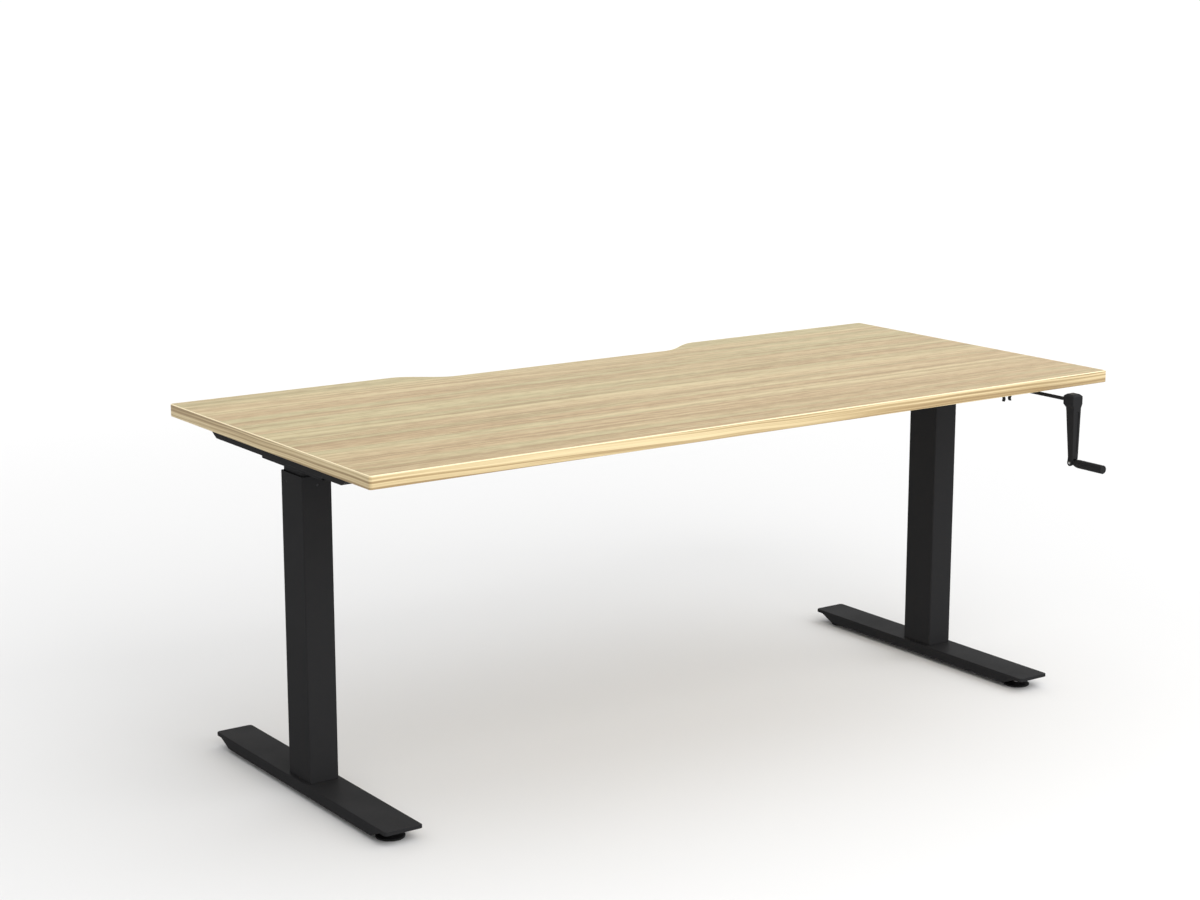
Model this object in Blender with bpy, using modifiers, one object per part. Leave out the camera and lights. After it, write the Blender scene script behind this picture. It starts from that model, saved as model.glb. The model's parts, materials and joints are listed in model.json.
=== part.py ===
"""Crank height adjustable desk: two T legs with telescopic columns, one crank.

Metres, +Z up, +X to the user's right, the user sits at -Y. The origin is on
the floor, under the middle of the bounding box. The desk stands at its lowest
height, with the crank pulled out for use.
"""
import math

import bmesh
import bpy
from mathutils import Matrix, Vector

GAP = 0.0003

TOP_HEIGHT = 0.715
TOP_LENGTH = 1.800
TOP_DEPTH = 0.800
TOP_THICKNESS = 0.025
TOP_CORNER = 0.006
BAND = 0.002
SCALLOP_DEPTH = 0.058
SCALLOP_FLAT = 0.273
SCALLOP_MOUTH = 0.398

PIN_FORWARD = 0.4572
GRIP_LENGTH = 0.088
DESK_Y = (PIN_FORWARD + GRIP_LENGTH - TOP_DEPTH / 2) / 2
COLUMN_X = 0.7985
COLUMN_Y = DESK_Y + 0.025

FOOT_LENGTH = 0.690
FOOT_WIDTH = 0.080
FOOT_TOP = 0.031
FOOT_BOTTOM = 0.0095
FOOT_LIP = 0.007
FOOT_WALL = 0.0025
PAD_Y = 0.293
PAD_RADIUS = 0.028
PAD_THICKNESS = 0.006
STUD_RADIUS = 0.004
BOSS_BOTTOM = 0.0125

OUTER_WIDTH = 0.062
OUTER_DEPTH = 0.086
OUTER_TOP = 0.633
OUTER_CORNER = 0.003
INNER_CORNER = 0.0025
SMALL_CORNER = 0.0006
TUBE_WALL = 0.002
GLIDE_WALL = 0.0014
UPPER_GLIDE = 0.060
LOWER_GLIDE = 0.040
INNER_BOTTOM = 0.050
BASE_PLATE = 0.006
BOLT_X = 0.017
BOLT_Y = 0.028
BOLT_HOLE = 0.0044
GLIDE_PIN_HOLE = 0.0028
GLIDE_PIN_DROP = 0.0185
FRONT_PIN_OFFSET = 0.001
SIDE_PIN_OFFSET = 0.0232

HEAD_BOTTOM = 0.6416
HEAD_LENGTH = 0.238
HEAD_WALL = 0.0025
ARM_LENGTH = 0.600
ARM_WIDTH = 0.0317
ARM_HEIGHT = 0.0285
ARM_SLOPE = math.radians(30)
ARM_WALL = 0.0025
RAIL_OFFSET = 0.075
RAIL_DEPTH = 0.020
RAIL_HEIGHT = 0.040
RAIL_BOTTOM = 0.646

SHAFT_Z = 0.675
HEX_SHAFT = 0.010
SCREW_RADIUS = 0.008
JOURNAL = 0.006
SCREW_BOTTOM = 0.060
NUT_TUBE_TOP = 0.535
NUT_TOP = 0.560
BEARING_BOTTOM = 0.630
GEAR_LARGE = 0.011
GEAR_SMALL = 0.0075
BOX_TOP = 0.6868

CRANK_X = 0.745
CRANK_HEX = 0.007
SLEEVE_RADIUS = 0.008
SLEEVE_FRONT = COLUMN_Y - 0.105
ROD_ENGAGED = 0.020
HUB_BACK = DESK_Y - 0.438
HUB_SIZE = 0.0285
HUB_RISE = 0.0140
LEVER_FRONT = DESK_Y - 0.464
LEVER_TOP_WIDTH = 0.0223
LEVER_TOP_DEPTH = 0.0226
LEVER_LOW_WIDTH = 0.017
LEVER_LOW_DEPTH = 0.0136
PIN_DROP = 0.1316
PIN_Y = DESK_Y - PIN_FORWARD
PIN_RADIUS = 0.002
CHEEK_RADIUS = 0.0068
FORK_SLOT = 0.0086
GRIP_RADIUS = 0.009
GRIP_ROOT = 0.0088
GUIDE_FRONT = DESK_Y - 0.300
CLIP_X = 0.6145
CLIP_Y = DESK_Y - 0.3904
CLIP_DEPTH = 0.006

UNDERSIDE = TOP_HEIGHT - TOP_THICKNESS
ROUND = 32
FINE = 20
X_AXIS = (0, math.pi / 2, 0)
FORWARD_AXIS = (math.pi / 2, 0, 0)
SIDE_PROFILE = (math.pi / 2, 0, math.pi / 2)
FRONT_PROFILE = (math.pi / 2, 0, 0)

OAK = ("oak melamine", (0.70, 0.56, 0.38), 0.55, 0.0)
EDGE_OAK = ("oak edge band", (0.72, 0.58, 0.36), 0.5, 0.0)
BLACK = ("black powder coat", (0.020, 0.020, 0.022), 0.5, 0.0)
PLASTIC = ("black plastic", (0.018, 0.018, 0.018), 0.45, 0.0)
STEEL = ("bright steel", (0.60, 0.60, 0.60), 0.3, 1.0)
BRASS = ("brass", (0.80, 0.62, 0.30), 0.3, 1.0)
CASTING = ("cast zinc", (0.45, 0.45, 0.46), 0.45, 1.0)


def clear_scene():
    for obj in list(bpy.data.objects):
        bpy.data.objects.remove(obj, do_unlink=True)


def new_collection(name):
    collection = bpy.data.collections.new(name)
    bpy.context.scene.collection.children.link(collection)
    return collection


def give_material(obj, look):
    label, colour, roughness, metallic = look
    material = bpy.data.materials.new(obj.name + " " + label)
    material.use_nodes = True
    shader = material.node_tree.nodes["Principled BSDF"]
    shader.inputs["Base Color"].default_value = (*colour, 1.0)
    shader.inputs["Roughness"].default_value = roughness
    shader.inputs["Metallic"].default_value = metallic
    obj.data.materials.append(material)


def add_object(name, mesh, location, look=None, rotation=(0, 0, 0)):
    obj = bpy.data.objects.new(name, mesh)
    obj.location = location
    obj.rotation_euler = rotation
    if look is None:
        CUTTERS.objects.link(obj)
        obj.hide_render = True
        obj.display_type = "WIRE"
    else:
        DESK.objects.link(obj)
        give_material(obj, look)
    return obj


def mesh_from(bm, name):
    mesh = bpy.data.meshes.new(name)
    bm.to_mesh(mesh)
    bm.free()
    return mesh


def box(name, low, high, look=None, origin=(0, 0, 0)):
    """Box between two world corners, its object's origin at the given point."""
    bm = bmesh.new()
    bmesh.ops.create_cube(bm, size=1.0)
    low, high, origin = Vector(low), Vector(high), Vector(origin)
    bmesh.ops.scale(bm, vec=high - low, verts=bm.verts)
    bmesh.ops.translate(bm, vec=(low + high) / 2 - origin, verts=bm.verts)
    return add_object(name, mesh_from(bm, name), origin, look)


def rod(name, radius, start, end, location, look=None, rotation=(0, 0, 0), sides=ROUND):
    """Round or hexagonal bar along its own Z, from start to end."""
    bm = bmesh.new()
    bmesh.ops.create_cone(
        bm, cap_ends=True, segments=sides, radius1=radius, radius2=radius, depth=end - start)
    bmesh.ops.translate(bm, vec=(0, 0, (start + end) / 2), verts=bm.verts)
    obj = add_object(name, mesh_from(bm, name), location, look, rotation)
    if sides > 6:
        shade_round(obj.data)
    return obj


def hex_rod(name, across, start, end, location, look=None, rotation=(0, 0, 0)):
    radius = across / math.sqrt(3)
    return rod(name, radius, start, end, location, look, rotation, sides=6)


def shade_round(mesh):
    mesh.shade_smooth()
    mesh.set_sharp_from_angle(angle=math.radians(35))


def turned(name, profile, location, look, rotation=(0, 0, 0), steps=ROUND):
    """Solid of revolution about the object's own Z, from (radius, height) points."""
    closed = profile[0][0] > 0
    bm = bmesh.new()
    verts = [bm.verts.new((radius, 0, height)) for radius, height in profile]
    for first, second in zip(verts, verts[1:]):
        bm.edges.new((first, second))
    if closed:
        bm.edges.new((verts[-1], verts[0]))
    obj = add_object(name, mesh_from(bm, name), location, look, rotation)
    screw = obj.modifiers.new("Turn", "SCREW")
    screw.steps = steps
    screw.render_steps = steps
    screw.use_merge_vertices = True
    screw.merge_threshold = 0.00001
    screw.use_smooth_shade = True
    return obj


def flat(name, rings, height, location, look=None, rotation=(0, 0, 0)):
    """Plate of the given height over a flat outline, with further rings as holes."""
    curve = bpy.data.curves.new(name, "CURVE")
    curve.dimensions = "2D"
    curve.fill_mode = "BOTH"
    curve.extrude = height / 2
    for ring in rings:
        spline = curve.splines.new("POLY")
        spline.points.add(len(ring) - 1)
        spline.use_cyclic_u = True
        for point, (x, y) in zip(spline.points, ring):
            point.co = (x, y, 0, 1)
    outline = bpy.data.objects.new(name + " outline", curve)
    bpy.context.scene.collection.objects.link(outline)
    evaluated = outline.evaluated_get(bpy.context.evaluated_depsgraph_get())
    mesh = bpy.data.meshes.new_from_object(evaluated)
    bpy.data.objects.remove(outline)
    bm = bmesh.new()
    bm.from_mesh(mesh)
    bmesh.ops.remove_doubles(bm, verts=bm.verts, dist=0.00001)
    bmesh.ops.recalc_face_normals(bm, faces=bm.faces)
    bm.to_mesh(mesh)
    bm.free()
    mesh.materials.clear()
    return add_object(name, mesh, location, look, rotation)


def combine(target, other, operation):
    """Boolean of another shape on the target; the other shape is kept as a hidden cutter."""
    modifier = target.modifiers.new(operation.title(), "BOOLEAN")
    modifier.operation = operation
    modifier.solver = "EXACT"
    modifier.object = other


def cut(target, *cutters):
    for cutter in cutters:
        combine(target, cutter, "DIFFERENCE")


def join(target, *others):
    for other in others:
        combine(target, other, "UNION")


def soften(obj, width, segments=2):
    bevel = obj.modifiers.new("Bevel", "BEVEL")
    bevel.width = width
    bevel.segments = segments
    bevel.limit_method = "ANGLE"
    bevel.angle_limit = math.radians(40)
    bevel.use_clamp_overlap = True


def attach(parent, *children):
    for child in children:
        child.parent = parent
        child.matrix_parent_inverse = parent.matrix_basis.inverted()


def joint_empty(name, location, parent=None):
    empty = bpy.data.objects.new(name, None)
    empty.location = location
    DESK.objects.link(empty)
    if parent:
        attach(parent, empty)
    return empty


def rounded_rectangle(width, depth, radius, steps=4):
    points = []
    for turn, (sx, sy) in enumerate(((1, 1), (-1, 1), (-1, -1), (1, -1))):
        cx = sx * (width / 2 - radius)
        cy = sy * (depth / 2 - radius)
        for step in range(steps + 1):
            angle = math.pi / 2 * (turn + step / steps)
            points.append((cx + radius * math.cos(angle), cy + radius * math.sin(angle)))
    return points


def inset(points, distance):
    """Closed outline (anticlockwise) moved inwards by a distance, with mitred corners."""
    moved = []
    count = len(points)
    for index in range(count):
        before = Vector(points[index - 1])
        here = Vector(points[index])
        after = Vector(points[(index + 1) % count])
        first = (here - before).normalized()
        second = (after - here).normalized()
        normal = (Vector((-first.y, first.x)) + Vector((-second.y, second.x))).normalized()
        reach = distance / max(0.3, normal.dot(Vector((-first.y, first.x))))
        moved.append(tuple(here + normal * reach))
    return moved


def desktop_outline():
    """Rounded rectangle with a wide shallow cable cut-out in the rear edge."""
    corners = rounded_rectangle(TOP_LENGTH, TOP_DEPTH, TOP_CORNER)
    steps = 12
    shoulder = []
    for step in range(steps + 1):
        part = step / steps
        x = SCALLOP_MOUTH + (SCALLOP_FLAT - SCALLOP_MOUTH) * part
        drop = SCALLOP_DEPTH * (1 - math.cos(math.pi * part)) / 2
        shoulder.append((x, TOP_DEPTH / 2 - drop))
    mirrored = [(-x, y) for x, y in reversed(shoulder)]
    quarter = len(corners) // 4
    return corners[:quarter] + shoulder + mirrored + corners[quarter:]


def build_top(lift):
    outline = desktop_outline()
    middle = (0, DESK_Y, TOP_HEIGHT - TOP_THICKNESS / 2)
    board = flat("desktop", [inset(outline, BAND + GAP)], TOP_THICKNESS, middle, OAK)
    band = flat("edge_band", [outline, inset(outline, BAND)], TOP_THICKNESS, middle, EDGE_OAK)
    attach(lift, board, band)


def build_foot(side, name, base):
    x = side * COLUMN_X
    half = FOOT_LENGTH / 2
    lip = FOOT_TOP - FOOT_LIP
    profile = [
        (-half, FOOT_TOP), (-half, lip), (-half + 0.022, lip), (-half + 0.054, FOOT_BOTTOM),
        (half - 0.054, FOOT_BOTTOM), (half - 0.022, lip), (half, lip), (half, FOOT_TOP)]
    beam = flat(
        name + "_foot_beam", [profile], FOOT_WIDTH, (x, COLUMN_Y, 0), BLACK, SIDE_PROFILE)
    plan = rounded_rectangle(FOOT_WIDTH, FOOT_LENGTH, 0.006)
    trim = flat(name + "_foot_trim", [plan], 0.1, (x, COLUMN_Y, 0))
    combine(beam, trim, "INTERSECT")
    inner = (FOOT_WIDTH / 2 - FOOT_WALL, half - FOOT_WALL)
    cut(beam, box(
        name + "_foot_hollow",
        (x - inner[0], COLUMN_Y - inner[1], -0.01),
        (x + inner[0], COLUMN_Y + inner[1], FOOT_TOP - 0.003)))
    for end in (-1, 1):
        place = (x, COLUMN_Y + end * PAD_Y, 0)
        join(beam, rod("boss", 0.009, BOSS_BOTTOM, FOOT_TOP - 0.002, place, sides=FINE))
        cut(beam, rod("thread", STUD_RADIUS + GAP, 0, FOOT_TOP - 0.003, place, sides=FINE))
    for bolt_x, bolt_y in bolt_places(x):
        cut(beam, rod("bolt_hole", BOLT_HOLE, 0, 0.1, (bolt_x, bolt_y, 0), sides=FINE))
    attach(base, beam)


def bolt_places(x):
    return [(x + sx * BOLT_X, COLUMN_Y + sy * BOLT_Y) for sx in (-1, 1) for sy in (-1, 1)]


def build_leveller(side, end, name, base):
    place = (side * COLUMN_X, COLUMN_Y + end * PAD_Y, 0)
    axis = joint_empty(name + "_axis", place, base)
    pad = turned(name + "_pad", [
        (0, PAD_THICKNESS), (PAD_RADIUS - 0.003, PAD_THICKNESS),
        (PAD_RADIUS, PAD_THICKNESS - 0.003), (PAD_RADIUS, 0.0005),
        (PAD_RADIUS - 0.0005, 0), (0, 0)], place, PLASTIC)
    nut_top = PAD_THICKNESS + GAP + 0.0025
    stud = rod(name + "_stud", STUD_RADIUS, PAD_THICKNESS + GAP, FOOT_TOP - 0.0036,
               place, STEEL, sides=FINE)
    join(stud, hex_rod("stud_flats", 0.011, PAD_THICKNESS + GAP, nut_top, place))
    attach(axis, pad, stud)


def column_tube(name, width, depth, corner, bottom, top, x, look):
    outline = rounded_rectangle(width, depth, corner)
    middle = (x, COLUMN_Y, (bottom + top) / 2)
    return flat(name, [outline, inset(outline, TUBE_WALL)], top - bottom, middle, look)


def build_fixed_column(side, name, base):
    """Base plate, outer tube with its upper glide, and the nut on its stand tube."""
    x = side * COLUMN_X
    outer = column_tube(name + "_outer_column", OUTER_WIDTH, OUTER_DEPTH, OUTER_CORNER,
                        FOOT_TOP + GAP, OUTER_TOP, x, BLACK)
    hole_height = OUTER_TOP - GLIDE_PIN_DROP
    face_y = COLUMN_Y - OUTER_DEPTH / 2
    cut(outer,
        rod("glide_hole_front", GLIDE_PIN_HOLE, -0.004, 0.004,
            (x + FRONT_PIN_OFFSET, face_y, hole_height), rotation=FORWARD_AXIS, sides=FINE),
        rod("glide_hole_side", GLIDE_PIN_HOLE, -0.004, 0.004,
            (x + side * OUTER_WIDTH / 2, COLUMN_Y + SIDE_PIN_OFFSET, hole_height),
            rotation=X_AXIS, sides=FINE))
    bore_width = OUTER_WIDTH - 2 * TUBE_WALL - 2 * GAP
    bore_depth = OUTER_DEPTH - 2 * TUBE_WALL - 2 * GAP
    plan = rounded_rectangle(bore_width, bore_depth, SMALL_CORNER)
    plate = flat(name + "_base_plate", [plan], BASE_PLATE,
                 (x, COLUMN_Y, FOOT_TOP + GAP + BASE_PLATE / 2), STEEL)
    for bolt_x, bolt_y in bolt_places(x):
        cut(plate, rod("plate_hole", BOLT_HOLE, 0, 0.1, (bolt_x, bolt_y, 0), sides=FINE))
    bore = rounded_rectangle(
        bore_width - 2 * GLIDE_WALL, bore_depth - 2 * GLIDE_WALL, SMALL_CORNER)
    glide = flat(name + "_upper_glide", [plan, bore], UPPER_GLIDE,
                 (x, COLUMN_Y, OUTER_TOP - UPPER_GLIDE / 2 - 0.001), PLASTIC)
    stand = FOOT_TOP + BASE_PLATE + 2 * GAP
    place = (x, COLUMN_Y, 0)
    tube = turned(name + "_nut_tube", [
        (0.014, NUT_TUBE_TOP), (0.014, stand), (0.012, stand), (0.012, NUT_TUBE_TOP)],
        place, STEEL, steps=FINE)
    low = NUT_TUBE_TOP + GAP
    nut = turned(name + "_lift_nut", [
        (0.014, NUT_TOP), (0.014, low), (SCREW_RADIUS + GAP, low),
        (SCREW_RADIUS + GAP, NUT_TOP)], place, BRASS, steps=FINE)
    attach(base, outer, plate, glide, tube, nut)


def build_moving_column(side, name, lift):
    """Inner tube with its lower glide, and the bearing block in its top end."""
    x = side * COLUMN_X
    slack = 2 * (TUBE_WALL + GLIDE_WALL + 2 * GAP)
    width = OUTER_WIDTH - slack
    depth = OUTER_DEPTH - slack
    top = HEAD_BOTTOM - GAP
    inner = column_tube(
        name + "_inner_column", width, depth, INNER_CORNER, INNER_BOTTOM, top, x, BLACK)
    ring = rounded_rectangle(width + 2 * (GAP + GLIDE_WALL), depth + 2 * (GAP + GLIDE_WALL),
                             INNER_CORNER + GAP + GLIDE_WALL)
    glide = flat(name + "_lower_glide", [ring, inset(ring, GLIDE_WALL)], LOWER_GLIDE,
                 (x, COLUMN_Y, INNER_BOTTOM + LOWER_GLIDE / 2), PLASTIC)
    plan = rounded_rectangle(width - 2 * (TUBE_WALL + GAP), depth - 2 * (TUBE_WALL + GAP), 0.001)
    bearing = flat(name + "_screw_bearing", [plan], top - BEARING_BOTTOM,
                   (x, COLUMN_Y, (top + BEARING_BOTTOM) / 2), CASTING)
    cut(bearing, rod("bearing_bore", JOURNAL + GAP, 0, 1, (x, COLUMN_Y, 0), sides=FINE))
    attach(lift, inner, glide, bearing)


def build_head(side, name, lift):
    """Head channel on the column, and the support arm along its outer side."""
    x = side * COLUMN_X
    top = UNDERSIDE - GAP
    inner_x = OUTER_WIDTH / 2 - HEAD_WALL
    channel = box(name + "_head_channel",
                  (x - OUTER_WIDTH / 2, COLUMN_Y - HEAD_LENGTH / 2, HEAD_BOTTOM),
                  (x + OUTER_WIDTH / 2, COLUMN_Y + HEAD_LENGTH / 2, top),
                  BLACK, (x, COLUMN_Y, HEAD_BOTTOM))
    cut(channel,
        box("channel_hollow", (x - inner_x, -1, HEAD_BOTTOM + HEAD_WALL), (x + inner_x, 1, 1)),
        rod("channel_screw_hole", JOURNAL + 0.001, 0, 1, (x, COLUMN_Y, 0), sides=FINE),
        rod("channel_shaft_hole", 0.0075, -0.04, 0,
            (x - side * 0.012, COLUMN_Y, SHAFT_Z),
            rotation=(0, side * math.pi / 2, 0), sides=FINE))
    run = ARM_HEIGHT / math.tan(ARM_SLOPE)
    half = ARM_LENGTH / 2
    low = top - ARM_HEIGHT
    outside = [(-half, top), (-half + run, low), (half - run, low), (half, top)]
    wall_run = ARM_WALL / math.sin(ARM_SLOPE)
    floor_run = (ARM_HEIGHT - ARM_WALL) / math.tan(ARM_SLOPE)
    inside_half = half - wall_run
    inside = [
        (-inside_half, top), (-inside_half + floor_run, low + ARM_WALL),
        (inside_half - floor_run, low + ARM_WALL), (inside_half, top),
        (inside_half, top + 0.01), (-inside_half, top + 0.01)]
    arm_x = x + side * (OUTER_WIDTH / 2 + GAP + ARM_WIDTH / 2)
    arm = flat(name + "_support_arm", [outside], ARM_WIDTH, (arm_x, COLUMN_Y, 0),
               BLACK, SIDE_PROFILE)
    cut(arm, flat("arm_hollow", [inside], ARM_WIDTH - 2 * ARM_WALL, (arm_x, COLUMN_Y, 0),
                  rotation=SIDE_PROFILE))
    for offset in (-0.21, -0.15, 0.15, 0.21):
        cut(arm, rod("arm_screw_hole", 0.0045, 0, UNDERSIDE - 0.01,
                     (arm_x, COLUMN_Y + offset, 0), sides=FINE))
    attach(lift, channel, arm)


def build_rail(offset, name, lift):
    reach = COLUMN_X - OUTER_WIDTH / 2 - GAP
    y = COLUMN_Y + offset
    centre = (0, y, RAIL_BOTTOM + RAIL_HEIGHT / 2)
    outline = rounded_rectangle(RAIL_HEIGHT, RAIL_DEPTH, 0.003)
    rail = flat(name, [outline, inset(outline, 0.002)], 2 * reach, centre, BLACK, X_AXIS)
    if offset < 0:
        cut(rail, rod("rail_sleeve_hole", SLEEVE_RADIUS + 0.0012, -0.03, 0.03,
                      (CRANK_X, y, SHAFT_Z), rotation=FORWARD_AXIS, sides=FINE))
    attach(lift, rail)


def gear_profile(hub_radius, hub_end, bore):
    """Mitre gear blank about Z, its cone's tip at the origin and its hub downwards."""
    large = -GEAR_LARGE - GAP
    small = -GEAR_SMALL - GAP
    return [
        (bore, small), (GEAR_SMALL, small), (GEAR_LARGE, large), (GEAR_LARGE, large - 0.0015),
        (hub_radius, large - 0.0015), (hub_radius, hub_end), (bore, hub_end)]


def build_screw(side, name, lift):
    x = side * COLUMN_X
    place = (x, COLUMN_Y, SHAFT_Z)
    axis = joint_empty(name + "_screw_axis", place, lift)
    shoulder = BEARING_BOTTOM - GAP - SHAFT_Z
    journal_top = 0.652 - GAP - SHAFT_Z
    bottom = SCREW_BOTTOM - SHAFT_Z
    screw = turned(name + "_lead_screw", [
        (0, journal_top), (JOURNAL, journal_top), (JOURNAL, shoulder),
        (SCREW_RADIUS, shoulder), (SCREW_RADIUS, bottom + 0.001),
        (SCREW_RADIUS - 0.001, bottom), (0, bottom)], place, STEEL, steps=FINE)
    hub_end = 0.652 - SHAFT_Z
    gear = turned(name + "_screw_bevel", gear_profile(0.008, hub_end, 0.003), place, STEEL,
                  steps=FINE)
    attach(axis, screw, gear)


def build_cross_shaft(lift):
    centre = (0, COLUMN_Y, SHAFT_Z)
    axis = joint_empty("cross_shaft_axis", centre, lift)
    reach = COLUMN_X - GEAR_SMALL - GAP
    shaft = hex_rod("cross_shaft", HEX_SHAFT, -reach, reach, centre, STEEL, X_AXIS)
    attach(axis, shaft)
    hub_end = -0.0195
    for side, name in SIDES:
        place = (side * COLUMN_X, COLUMN_Y, SHAFT_Z)
        bevel = shaft_gear(name + "_shaft_bevel", place, side, hub_end)
        attach(axis, bevel)
    attach(axis, shaft_gear("crank_shaft_bevel", (CRANK_X, COLUMN_Y, SHAFT_Z), 1, hub_end))


def shaft_gear(name, place, side, hub_end):
    """Mitre gear on the hexagonal cross shaft, with its cone's tip at the given place."""
    gear = turned(name, gear_profile(0.009, hub_end, 0.004), place, STEEL,
                  (0, side * math.pi / 2, 0), FINE)
    half = 0.1
    cut(gear, hex_rod(name + "_hex", HEX_SHAFT + 2 * GAP, -half, half, place,
                      rotation=X_AXIS))
    return gear


def open_box(name, low, high, wall, place, look):
    """Housing without a lid."""
    low, high = Vector(low), Vector(high)
    shell = box(name, low, high, look, place)
    step = Vector((wall, wall, wall))
    hollow_high = high - step
    hollow_high.z = high.z + 0.01
    cut(shell, box(name + "_hollow", low + step, hollow_high))
    return shell


def lid(name, low, high, look, place):
    top = UNDERSIDE - GAP
    return box(name, (low[0], low[1], BOX_TOP + GAP), (high[0], high[1], top), look, place)


def build_gearbox(side, name, lift):
    x = side * COLUMN_X
    place = (x, COLUMN_Y, SHAFT_Z)
    floor = HEAD_BOTTOM + HEAD_WALL + GAP
    low = (x - 0.0275, COLUMN_Y - 0.022, floor)
    high = (x + 0.0275, COLUMN_Y + 0.022, BOX_TOP)
    housing = open_box(name + "_gearbox_housing", low, high, 0.003, place, CASTING)
    cut(housing,
        rod("housing_screw_bore", JOURNAL + GAP, 0, 1, (x, COLUMN_Y, 0), sides=FINE),
        rod("housing_shaft_bore", 0.0062, -0.035, 0, place,
            rotation=(0, side * math.pi / 2, 0), sides=FINE))
    attach(lift, housing, lid(name + "_gearbox_cover", low, high, CASTING, place))


def build_crank_gearbox(lift):
    place = (CRANK_X, COLUMN_Y, SHAFT_Z)
    edge = COLUMN_X - OUTER_WIDTH / 2 - GAP
    low = (CRANK_X - 0.023, COLUMN_Y - 0.030, 0.6525)
    high = (edge, COLUMN_Y + 0.016, BOX_TOP)
    housing = open_box("crank_gearbox_housing", low, high, 0.003, place, CASTING)
    cut(housing,
        rod("crank_shaft_bore", 0.0062, -0.05, 0.05, place, rotation=X_AXIS, sides=FINE),
        rod("crank_sleeve_bore", SLEEVE_RADIUS + GAP, 0, 0.05, place,
            rotation=FORWARD_AXIS, sides=FINE))
    attach(lift, housing, lid("crank_gearbox_cover", low, high, CASTING, place))


def build_crank_input(lift):
    """Mitre gear with the long hexagonal socket that the crank rod slides in."""
    place = (CRANK_X, COLUMN_Y, SHAFT_Z)
    axis = joint_empty("crank_axis", place, lift)
    front = COLUMN_Y - SLEEVE_FRONT
    socket = turned("crank_socket", gear_profile(SLEEVE_RADIUS, -front, 0.002), place, STEEL,
                    (-math.pi / 2, 0, 0), FINE)
    cut(socket, hex_rod("socket_hex", CRANK_HEX + 2 * GAP, 0.0118, front + 0.01, place,
                        rotation=FORWARD_AXIS))
    attach(axis, socket)
    return axis


def tapered_bar(name, look=None):
    """Lever from the hub down to the fork, narrower and thinner at the bottom."""
    bm = bmesh.new()
    bmesh.ops.create_cube(bm, size=1.0)
    for vert in bm.verts:
        low = vert.co.z < 0
        width = LEVER_LOW_WIDTH if low else LEVER_TOP_WIDTH
        depth = LEVER_LOW_DEPTH if low else LEVER_TOP_DEPTH
        back = 0 if vert.co.y < 0 else depth
        vert.co = (math.copysign(width / 2, vert.co.x), back, -PIN_DROP if low else 0)
    return add_object(name, mesh_from(bm, name), (CRANK_X, LEVER_FRONT, SHAFT_Z), look)


def build_crank(crank_axis):
    """Hexagonal rod and lever, which slide together along the rod."""
    place = (CRANK_X, HUB_BACK, SHAFT_Z)
    slide = joint_empty("crank_slide", place, crank_axis)
    rod_back = HUB_BACK - SLEEVE_FRONT - ROD_ENGAGED
    shaft = hex_rod("crank_rod", CRANK_HEX, rod_back, ROD_ENGAGED, place, BLACK, FORWARD_AXIS)
    arm = tapered_bar("crank_arm", PLASTIC)
    half = HUB_SIZE / 2
    hub = box("crank_hub", (CRANK_X - half, HUB_BACK - HUB_SIZE, SHAFT_Z - 0.011),
              (CRANK_X + half, HUB_BACK, SHAFT_Z + HUB_RISE))
    soften(hub, 0.006)
    pin = (CRANK_X, PIN_Y, SHAFT_Z - PIN_DROP)
    cheek = rod("crank_cheek", CHEEK_RADIUS, -LEVER_LOW_WIDTH / 2, LEVER_LOW_WIDTH / 2, pin,
                rotation=X_AXIS)
    soften(arm, 0.002, 1)
    join(arm, hub, cheek)
    slot = FORK_SLOT / 2
    cut(arm,
        box("fork_slot", (CRANK_X - slot, PIN_Y - 0.02, pin[2] - 0.02),
            (CRANK_X + slot, PIN_Y + 0.02, pin[2] + 0.0085)),
        rod("fork_hole", PIN_RADIUS + GAP, -0.02, 0.02, pin, rotation=X_AXIS, sides=FINE),
        hex_rod("hub_socket", CRANK_HEX + 2 * GAP, -0.01, ROD_ENGAGED + GAP, place,
                rotation=FORWARD_AXIS))
    head = LEVER_LOW_WIDTH / 2 + GAP
    rivet = turned("grip_pivot_pin", [
        (0, head + 0.0008), (0.0025, head + 0.0008), (0.003, head), (PIN_RADIUS, head),
        (PIN_RADIUS, -head), (0.003, -head), (0.0025, -head - 0.0008), (0, -head - 0.0008)],
        pin, STEEL, X_AXIS, FINE)
    attach(slide, shaft, arm, rivet)
    return slide


def build_grip(crank_slide):
    pin = (CRANK_X, PIN_Y, SHAFT_Z - PIN_DROP)
    fold = joint_empty("grip_fold_axis", pin, crank_slide)
    half = FORK_SLOT / 2 - GAP
    spindle = rod("grip_spindle", 0.0035, 0, GRIP_LENGTH - 0.006, pin, STEEL, FORWARD_AXIS,
                  sides=FINE)
    join(spindle, rod("knuckle", 0.0062, -half, half, pin, rotation=X_AXIS, sides=FINE))
    cut(spindle, rod("knuckle_hole", PIN_RADIUS + GAP, -0.02, 0.02, pin,
                     rotation=X_AXIS, sides=FINE))
    bore = 0.0035 + GAP
    sleeve = turned("grip_sleeve", [
        (0, GRIP_LENGTH), (GRIP_RADIUS - 0.0015, GRIP_LENGTH),
        (GRIP_RADIUS, GRIP_LENGTH - 0.0015), (GRIP_RADIUS, GRIP_ROOT + 0.012),
        (0.0068, GRIP_ROOT), (bore, GRIP_ROOT), (bore, GRIP_LENGTH - 0.005),
        (0, GRIP_LENGTH - 0.005)], pin, PLASTIC, FORWARD_AXIS)
    attach(fold, spindle, sleeve)


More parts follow.
